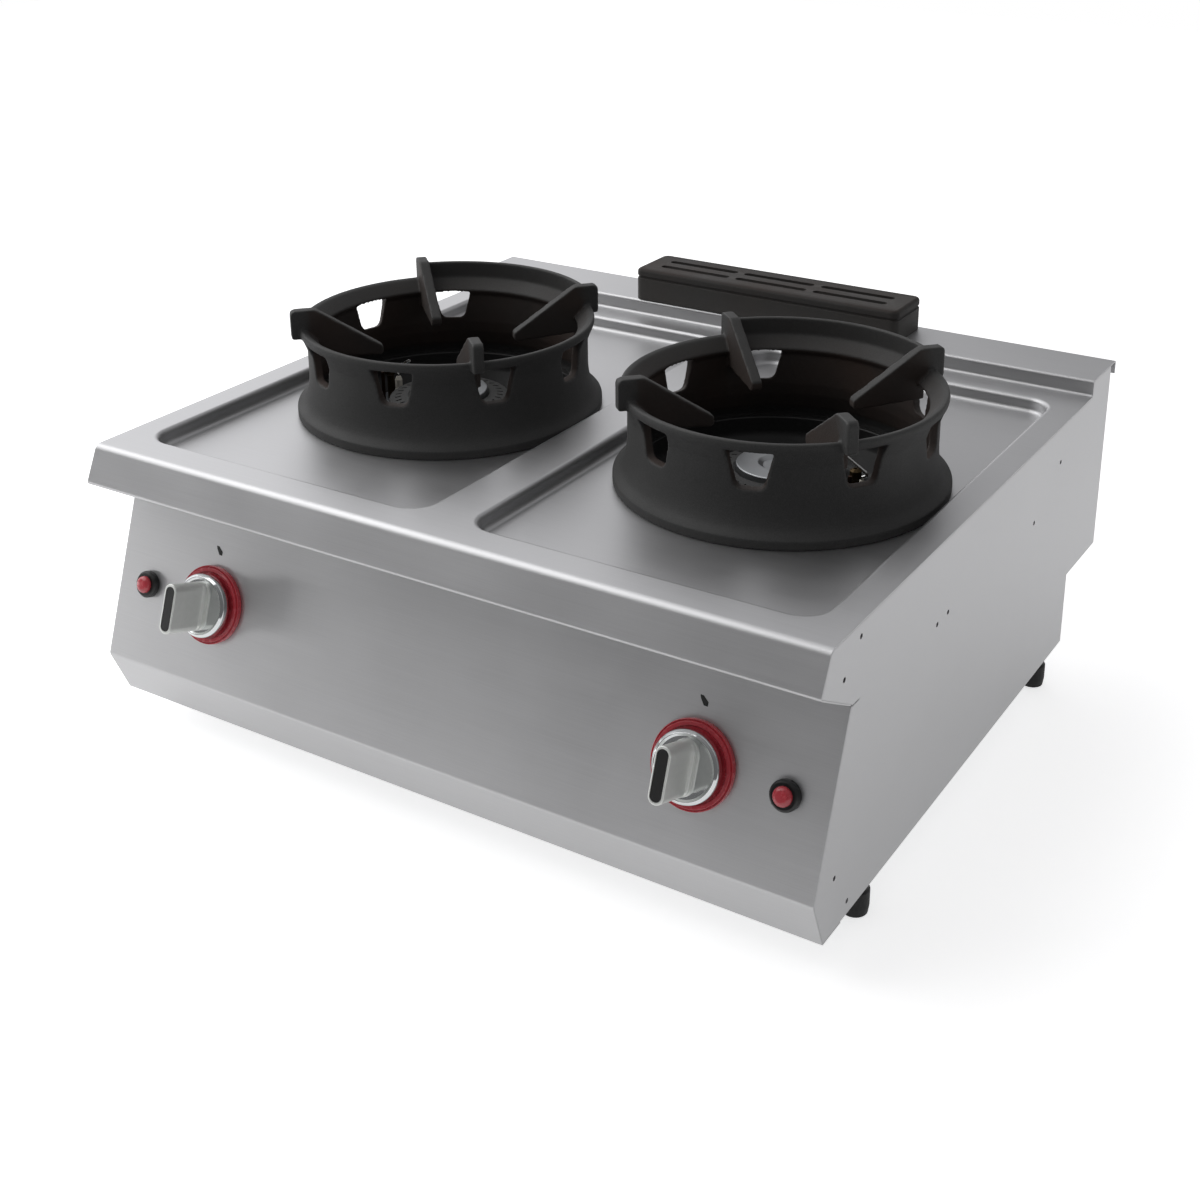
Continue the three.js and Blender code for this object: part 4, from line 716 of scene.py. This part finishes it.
def cast_ring():
    """One ring, its sharp joins rounded as the sand mould leaves them."""
    ring = loose("ring_wall", mesh_of("ring_wall", build_ring))
    cutters = [
        loose("window", spun(mesh_of("window", build_window), a)) for a in WINDOW_ANGLES]
    joined(cutters, "DIFFERENCE", ring)
    extras = [loose("shield", spun(mesh_of("shield", build_shield), RIB_ANGLES[2]))]
    extras += [loose("rib", spun(mesh_of("rib", build_rib), a)) for a in RIB_ANGLES]
    joined(extras, "UNION", ring)
    modified(ring, "REMESH", mode="VOXEL", voxel_size=1.3)
    modified(ring, "SMOOTH", factor=0.5, iterations=3)
    settled(ring)
    modified(ring, "DECIMATE", ratio=0.45)
    settled(ring)
    mesh = ring.data
    bpy.data.objects.remove(ring)
    return with_burn_and_shade(mesh, burn_and_shade_at)


ring_mesh = cast_ring()
for name, side in SIDES:
    seat = Matrix.Translation((side * WELL_X + RING_SHIFT, BURNER_Y, RING_SEAT))
    piece(f"ring_cast_{name}", ring_mesh.copy(), IRON, f"wok_ring_{name}",
          [f"wok_ring_{name}"], seat, angle=60)

# ---------------------------------------------------------------- flue cover


def build_flue_cover(bm):
    def outline(inset):
        return rectangle(
            FLUE_LENGTH - 2 * inset, FLUE_DEPTH - 2 * inset, FLUE_CORNER - inset, 8)
    levels = [(outline(0), 0), (outline(0), 25.5), (outline(1.2), 26.5), (outline(1.2), 28.5),
              (outline(0), 29.5), (outline(0), FLUE_HEIGHT - FLUE_EDGE)]
    for i in range(1, 7):
        angle = i / 6 * math.pi / 2
        levels.append((outline(FLUE_EDGE * (1 - math.cos(angle))),
                       FLUE_HEIGHT - FLUE_EDGE + FLUE_EDGE * math.sin(angle)))
    rows = [[Vector((p.x, p.y, z)) for p in points] for points, z in levels]
    skin(bm, rows, True)
    slots = []
    for row in (-1, 1):
        for i in (-1, 0, 1):
            middle = (FLUE_SLOT_STEP[0] * i, FLUE_SLOT_STEP[1] * row)
            slots.append([
                Vector((*p, FLUE_HEIGHT)) for p in rectangle(*FLUE_SLOT, 4.4, 6, middle)])
    face_loops(bm, [rows[-1], *slots])
    roof = FLUE_HEIGHT - FLUE_WALL
    hollow = [(outline(FLUE_WALL), 0), (outline(FLUE_WALL), roof)]
    inner = [[Vector((p.x, p.y, z)) for p in points] for points, z in hollow]
    skin(bm, inner, True)
    face_loops(bm, [rows[0], inner[0]])
    low = [[Vector((p.x, p.y, roof)) for p in slot] for slot in slots]
    face_loops(bm, [inner[-1], *low])
    for top_loop, low_loop in zip(slots, low):
        skin(bm, [top_loop, low_loop], True)


flue_seat = Matrix.Translation((FLUE_X, UPSTAND[0] + FLUE_DEPTH / 2, UPSTAND[1] + GAP))
cover_mesh = mesh_of("flue_cover_cast", build_flue_cover)
# The top is made darker than the sides: painted shade on the top; the whole cover also takes a lighter
# share of the same darkening.
with_burn_and_shade(cover_mesh, lambda point: 0.6 if point.z > FLUE_HEIGHT - 1.5 else 0.3)
piece("flue_cover_cast", cover_mesh, COVER_IRON, "flue_cover", ["flue_cover"],
      flue_seat)

# ---------------------------------------------------------------- burners


PILOT_REACH = 80.0
SPARK_SIDE = 13.0


def build_head(bm):
    """The burner's pale steel head, dished in the middle."""
    turned(bm, bent([
        (0, -6), (36, -9), (41.6, -9), (41.6, 0.3, 1.6), (20, 0.3, 3), (15.4, -2.7, 2), (0, -2.7)],
        6), 96)


def build_port_ring(bm):
    """The cast ring round the head, whose slope carries the flame ports."""
    turned(bm, bent([
        (42, -14), (55, -14), (55, -19.7), (58.4, -19.7), (58.4, -13.7), (64, -13.7, 0.6),
        (64, -8.7, 1.2), (44, -4.8, 1), (42, -6.4)], 4), 96, True)


def build_ports(bm):
    """The flame ports: short slots cut into the ring's slope."""
    count = 36
    for i in range(count):
        angle = 2 * math.pi * i / count
        outline = rectangle(2.2, 7, 1.0, 4)
        turn = Matrix.Rotation(angle, 4, "Z") @ Matrix.Translation((54.5, 0, -6.8)) \
            @ Matrix.Rotation(math.radians(11), 4, "Y") @ Matrix.Rotation(math.pi / 2, 4, "Z")
        rows = [[turn @ Vector((p.x, p.y, z)) for p in outline] for z in (-2.5, 2.5)]
        skin(bm, rows, True)
        face_loops(bm, [rows[0]])
        face_loops(bm, [rows[1]])


def build_bowl(side):
    """The pressed bowl under the burner, with the slot its pilot rises through."""
    def build(bm):
        floor = -WELL_DEPTH
        lip = floor + COLLAR + GAP + SHEET
        path = bent([
            (OPENING + 2.7, lip), (136.2, lip, 1.5), (136.2, floor - 8, 14),
            (121, floor - 32.5, 12), (65.5, floor - 32.5)], 6)
        rows = [[Vector((p.x, p.y, q.y)) for p in circle(q.x, 96)] for q in path[:-1]]
        skin(bm, rows, True)
        slot = rectangle(16, 42, 4, 4, (side * PILOT_REACH, 0))
        face_loops(bm, [
            rows[-1],
            [Vector((p.x, p.y, path[-1].y)) for p in circle(path[-1].x, 96)],
            [Vector((p.x, p.y, path[-1].y)) for p in slot]])
    return build


def build_ceramic(bm):
    """The electrode's insulator: a shouldered tube that tapers to the wire."""
    turned(bm, bent([
        (0, -43.7), (1.2, -43.7), (1.2, -36), (5, -36, 0.5), (5, -28.8, 0.6), (4, -28.2, 0.3),
        (4, -9, 1), (2.4, -5, 0.8), (0, -5)], 4), 32)


def build_tip(side):
    """The wire that leaves the insulator and leans over towards the burner's edge."""
    def build(bm):
        corners = [(0, -6), (0, -3, 2), (8, 1, 2), (-17, 16)]
        line = [Vector((side * p.x, 0, p.y)) for p in bent(corners, 5)]
        rows = []
        for i, point in enumerate(line):
            ahead = line[min(i + 1, len(line) - 1)] - line[max(i - 1, 0)]
            turn = ahead.to_track_quat("Z", "Y")
            rows.append([point + turn @ Vector((p.x, p.y, 0)) for p in circle(1.6, 16)])
        skin(bm, rows, True)
        face_loops(bm, [rows[0]])
        face_loops(bm, [rows[-1]])
    return build


for name, side in SIDES:
    axis = Matrix.Translation((side * WELL_X, BURNER_Y, 0))
    ring = loose("port_ring", mesh_of("port_ring", build_port_ring))
    joined([loose("ports", mesh_of("ports", build_ports))], "DIFFERENCE", ring)
    ring_of_ports = ring.data
    bpy.data.objects.remove(ring)
    piece(f"cap_ring_{name}", ring_of_ports, IRON, f"burner_cap_{name}",
          [f"burner_cap_{name}"], axis)
    piece(f"cap_head_{name}", mesh_of("cap_head", build_head), MILL_STEEL,
          f"burner_cap_{name}", [f"burner_cap_{name}"], axis)
    piece(f"bowl_enamel_{name}", mesh_of(f"bowl_{name}", build_bowl(side), (0, 0, 1)), ENAMEL,
          "casing", [f"burner_bowl_{name}"], axis, thickness=SHEET)
    spark = axis @ Matrix.Translation((side * PILOT_REACH, SPARK_SIDE, 0))
    piece(f"spark_ceramic_{name}", mesh_of("spark_ceramic", build_ceramic), CERAMIC, "casing",
          [f"spark_electrode_{name}"], spark)
    piece(f"spark_tip_{name}", mesh_of("spark_tip", build_tip(side)), WIRE, "casing",
          [f"spark_electrode_{name}"], spark)

# ---------------------------------------------------------------- knobs and igniters

KNOB_FRONT = 60.0
GRIP_LENGTH = 49.0
GRIP_WIDTH = 14.5
INLAY_LENGTH = 44.0
INLAY_WIDTH = 11.0


def build_bezel_base(bm):
    """The black seat behind the knob."""
    turned(bm, [(14, GAP), (25.6, GAP), (25.6, 3.2), (14, 3.2)], 96, True)


def build_bezel_ring(bm):
    """The red ring: a broad rounded band with a groove near its outer edge."""
    profile = bent([
        (26, GAP), (26, 4.0), (32, 4.4, 0.4), (33.2, 6.0, 0.8), (36.6, 6.0, 0.7), (37.1, 3.9, 0.3),
        (37.7, 3.9, 0.3), (38.0, 5.0, 0.3), (38.9, 4.6, 0.6), (39.0, GAP)], 4)
    turned(bm, profile, 120, True)


def build_disc(bm):
    """A chromed disc with a raised rim."""
    turned(bm, bent([
        (0, 8), (28.5, 8), (31.5, 10, 1.5), (31.5, 16.5, 2.5), (28.2, 19, 1.0), (26.4, 17.5, 1.2),
        (0, 17.5)], 6), 120)


def stadium(length, width):
    return rectangle(width, length, width / 2 - 0.3, 10)


def build_grip(bm):
    """The bar to hold: stepped where it leaves the disc, recessed in front for the inlay."""
    length, width = GRIP_LENGTH, GRIP_WIDTH
    levels = [(stadium(length, width + 11), 16.5), (stadium(length, width + 11), 18.6),
              (stadium(length, width + 10), 19.2), (stadium(length, width + 5.4), 19.6),
              (stadium(length, width + 5), 22.4), (stadium(length, width + 4), 23.0),
              (stadium(length, width + 1), 23.6), (stadium(length, width), 27)]
    edge = 1.2
    for i in range(6):
        angle = i / 5 * math.pi / 2
        inset = edge * (1 - math.cos(angle))
        levels.append((
            stadium(length - 2 * inset, width - 2 * inset),
            KNOB_FRONT - edge + edge * math.sin(angle)))
    rows = [[Vector((p.x, p.y, z)) for p in outline] for outline, z in levels]
    skin(bm, rows, True)
    face_loops(bm, [rows[0]])
    recess = [
        [Vector((p.x, p.y, z)) for p in stadium(INLAY_LENGTH, INLAY_WIDTH)]
        for z in (KNOB_FRONT, KNOB_FRONT - 1.5)]
    face_loops(bm, [rows[-1], recess[0]])
    skin(bm, recess, True)
    face_loops(bm, [recess[1]])


def build_inlay(bm):
    stack(bm, [
        (stadium(INLAY_LENGTH - 0.5, INLAY_WIDTH - 0.5), KNOB_FRONT - 1.2),
        (stadium(INLAY_LENGTH - 0.5, INLAY_WIDTH - 0.5), KNOB_FRONT - 0.2),
        (stadium(INLAY_LENGTH - 1.3, INLAY_WIDTH - 1.3), KNOB_FRONT + 0.1)])


def build_collar(bm):
    turned(bm, bent([
        (8.8, -10), (8.8, 6.4), (9.4, 7.0, 0.5), (11.6, 7.0, 1.6), (13.5, 4.6, 1.2), (13.5, GAP),
        (10.5, GAP), (10.5, -10)], 5), 64, True)


def build_button(bm):
    turned(bm, bent([
        (0, -7), (8.5, -7), (8.5, 9.8, 2.6), (5.4, 12.2, 4), (0, 12.5)], 8), 64)


def build_mark(bm):
    """A small printed pointer over the knob's middle."""
    outline = loop_of([
        (-5.4, 58.6, 0.4), (-2.0, 58.4, 0.6), (3.4, 53.8, 0.8), (3.2, 50.0, 0.4),
        (-0.6, 50.2, 0.6), (-4.2, 55.4, 0.8)], 3)
    stack(bm, [(outline, 0.02), (outline, 0.1)])


for name, side in SIDES:
    knob = on_panel(side * KNOB_X)
    piece(f"bezel_seat_{name}", mesh_of("bezel_seat", build_bezel_base), BLACK, "casing",
          [f"knob_bezel_{name}"], knob, bevel=0.3)
    piece(f"bezel_ring_{name}", mesh_of("bezel_ring", build_bezel_ring), RED, "casing",
          [f"knob_bezel_{name}"], knob)
    piece(f"knob_disc_{name}", mesh_of("knob_disc", build_disc), CHROME, f"knob_{name}",
          [f"knob_{name}"], knob)
    piece(f"knob_grip_{name}", mesh_of("knob_grip", build_grip), PALE_LIT_CHROME, f"knob_{name}",
          [f"knob_{name}"], knob)
    piece(f"grip_inlay_{name}", mesh_of("grip_inlay", build_inlay), BLACK, f"knob_{name}",
          [f"knob_inlay_{name}"], knob)
    piece(f"index_mark_{name}", mesh_of("index_mark", build_mark), INK, "casing", [],
          knob)
    igniter = on_panel(side * IGNITER_X)
    piece(f"igniter_collar_{name}", mesh_of("igniter_collar", build_collar), BLACK, "casing",
          [], igniter)
    piece(f"igniter_cap_{name}", mesh_of("igniter_cap", build_button), RED,
          f"igniter_button_{name}", [f"igniter_button_{name}"], igniter)

# ---------------------------------------------------------------- feet


def build_foot(bm):
    turned(bm, bent([
        (0, 0), (11.6, 0, 0.8), (12.8, 8, 3), (12.8, 24, 1), (11.4, 26, 1), (11.4, 35.5, 1.4),
        (10.6, 37.7), (5, 37.7), (5, 54), (0, 54)], 4), 48)


for end, y in (("front", FOOT_FRONT), ("rear", FOOT_REAR)):
    for name, side in SIDES:
        node = f"foot_{end}_{name}"
        where = Matrix.Translation((side * FOOT_X, y, BASE - FOOT_HEIGHT))
        piece(f"{node}_moulded", mesh_of(node, build_foot), NYLON, node, [node],
              where)

# ---------------------------------------------------------------- CAD nodes that stay shown

FINISHES = {
    "base_pan": MILL_STEEL, "rear_panel": STEEL, "flue_duct": TINTED_STEEL,
    "burner_body": IRON, "mixing_tube": IRON, "injector_holder": ZINC, "injector": BRASS,
    "pilot_bracket": ZINC, "pilot_burner": BRASS_BURNT,
    "tap_body": BRASS, "tap_plug": BRASS, "tap_stem": ZINC, "gas_manifold": ZINC,
    "inlet_pipe": ZINC, "inlet_connector": BRASS, "feed_pipe": COPPER, "pilot_pipe": COPPER_BURNT,
    "thermocouple": COPPER_BURNT, "ignition_lead": SILICONE, "igniter_body": BLACK,
}
for node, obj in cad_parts.items():
    kinds = [kind for kind in FINISHES if node.startswith(kind)]
    if not kinds or obj.hide_render:
        continue
    obj.data.materials.clear()
    obj.data.materials.append(FINISHES[max(kinds, key=len)])

# ---------------------------------------------------------------- floor, light and camera


def studio(tree):
    """White to the camera. To the object it is a grey room with a bright wall behind the left."""
    tree.nodes.clear()
    towards = add(tree, "TexCoord").outputs["Generated"]
    behind = add(tree, "VectorMath", {0: towards, 1: (-0.85, 0.4, 0.34)}, operation="DOT_PRODUCT")
    before = add(tree, "VectorMath", {0: towards, 1: (0.35, -0.94, 0.0)}, operation="DOT_PRODUCT")
    wall = add(tree, "MapRange", {
        "Value": behind.outputs["Value"], "From Min": 0.66, "From Max": 0.94,
        "To Min": 0.0, "To Max": 0.9}, interpolation_type="SMOOTHSTEP")
    dusk = add(tree, "MapRange", {
        "Value": before.outputs["Value"], "From Min": -0.3, "From Max": 0.8,
        "To Min": 0.4, "To Max": 0.16})
    light = add(tree, "Math", {0: wall, 1: dusk}, operation="ADD")
    room = add(tree, "Background", {"Color": linear("#fdfdff"), "Strength": light})
    seen = add(tree, "Background", {"Color": (1, 1, 1, 1), "Strength": 1.0})
    mix = add(tree, "MixShader", {"Fac": add(tree, "LightPath").outputs["Is Camera Ray"]})
    tree.links.new(room.outputs[0], mix.inputs[1])
    tree.links.new(seen.outputs[0], mix.inputs[2])
    add(tree, "OutputWorld", {"Surface": mix})


world = bpy.data.worlds.new("studio")
world.use_nodes = True
bpy.context.scene.world = world
studio(world.node_tree)


def white_paper(tree):
    """Paper lit up white to the camera, with a faint shadow left where the object stands."""
    path = add(tree, "LightPath")
    mirrored = add(tree, "MapRange", {"Value": path.outputs["Is Glossy Ray"], "To Max": 0.4})
    paper = speckle(tree, "#f8f8f8", "#ffffff", 200, 0.8, 0.05)
    paper["Emission_Color"] = (1, 1, 1, 1)
    paper["Emission_Strength"] = add(tree, "MapRange", {
        "Value": path.outputs["Is Camera Ray"], "To Min": mirrored, "To Max": 0.65})
    return paper


floor_mesh = bpy.data.meshes.new("floor")
front, back, wide = -1.35, 5.0, 5.0
floor_mesh.from_pydata(
    [(-wide, front, 0), (wide, front, 0), (wide, back, 0), (-wide, back, 0)], [], [(0, 1, 2, 3)])
floor = bpy.data.objects.new("floor", floor_mesh)
bpy.context.scene.collection.objects.link(floor)
floor_mesh.materials.append(surface("paper_matt_white", white_paper))


def lamp(name, at, toward, size, radiance):
    """A rectangular soft box. Its power follows from how bright its face is to look."""
    data = bpy.data.lights.new(name, "AREA")
    data.shape = "RECTANGLE"
    data.size, data.size_y = size
    data.energy = radiance * math.pi * size[0] * size[1]
    obj = bpy.data.objects.new(name, data)
    bpy.context.scene.collection.objects.link(obj)
    obj.location = at
    obj.rotation_mode = "QUATERNION"
    obj.rotation_quaternion = (Vector(toward) - Vector(at)).to_track_quat("-Z", "Y")


lamp("overhead_left", (-1.7, -0.8, 2.6), (0, 0, 0.3), (2.6, 2.6), 1.85)
lamp("low_strip", (-2.0, -1.3, 0.04), (-0.4, -0.38, 0.1), (0.7, 0.36), 6.0)

camera_data = bpy.data.cameras.new("camera")
camera_data.lens = 51.127
camera_data.sensor_width = 36
camera_data.shift_x = -0.025459
camera_data.shift_y = -0.165048
camera = bpy.data.objects.new("camera", camera_data)
bpy.context.scene.collection.objects.link(camera)
camera.location = place((870.633, -1048.132, 634.473))
camera.rotation_mode = "QUATERNION"
look = Vector((-0.4923776, 0.7946616, -0.3550736)).to_track_quat("-Z", "Y")
camera.rotation_quaternion = look @ Quaternion((0, 0, 1), math.radians(-0.2448))
bpy.context.scene.camera = camera
bpy.context.scene.view_settings.view_transform = "Standard"
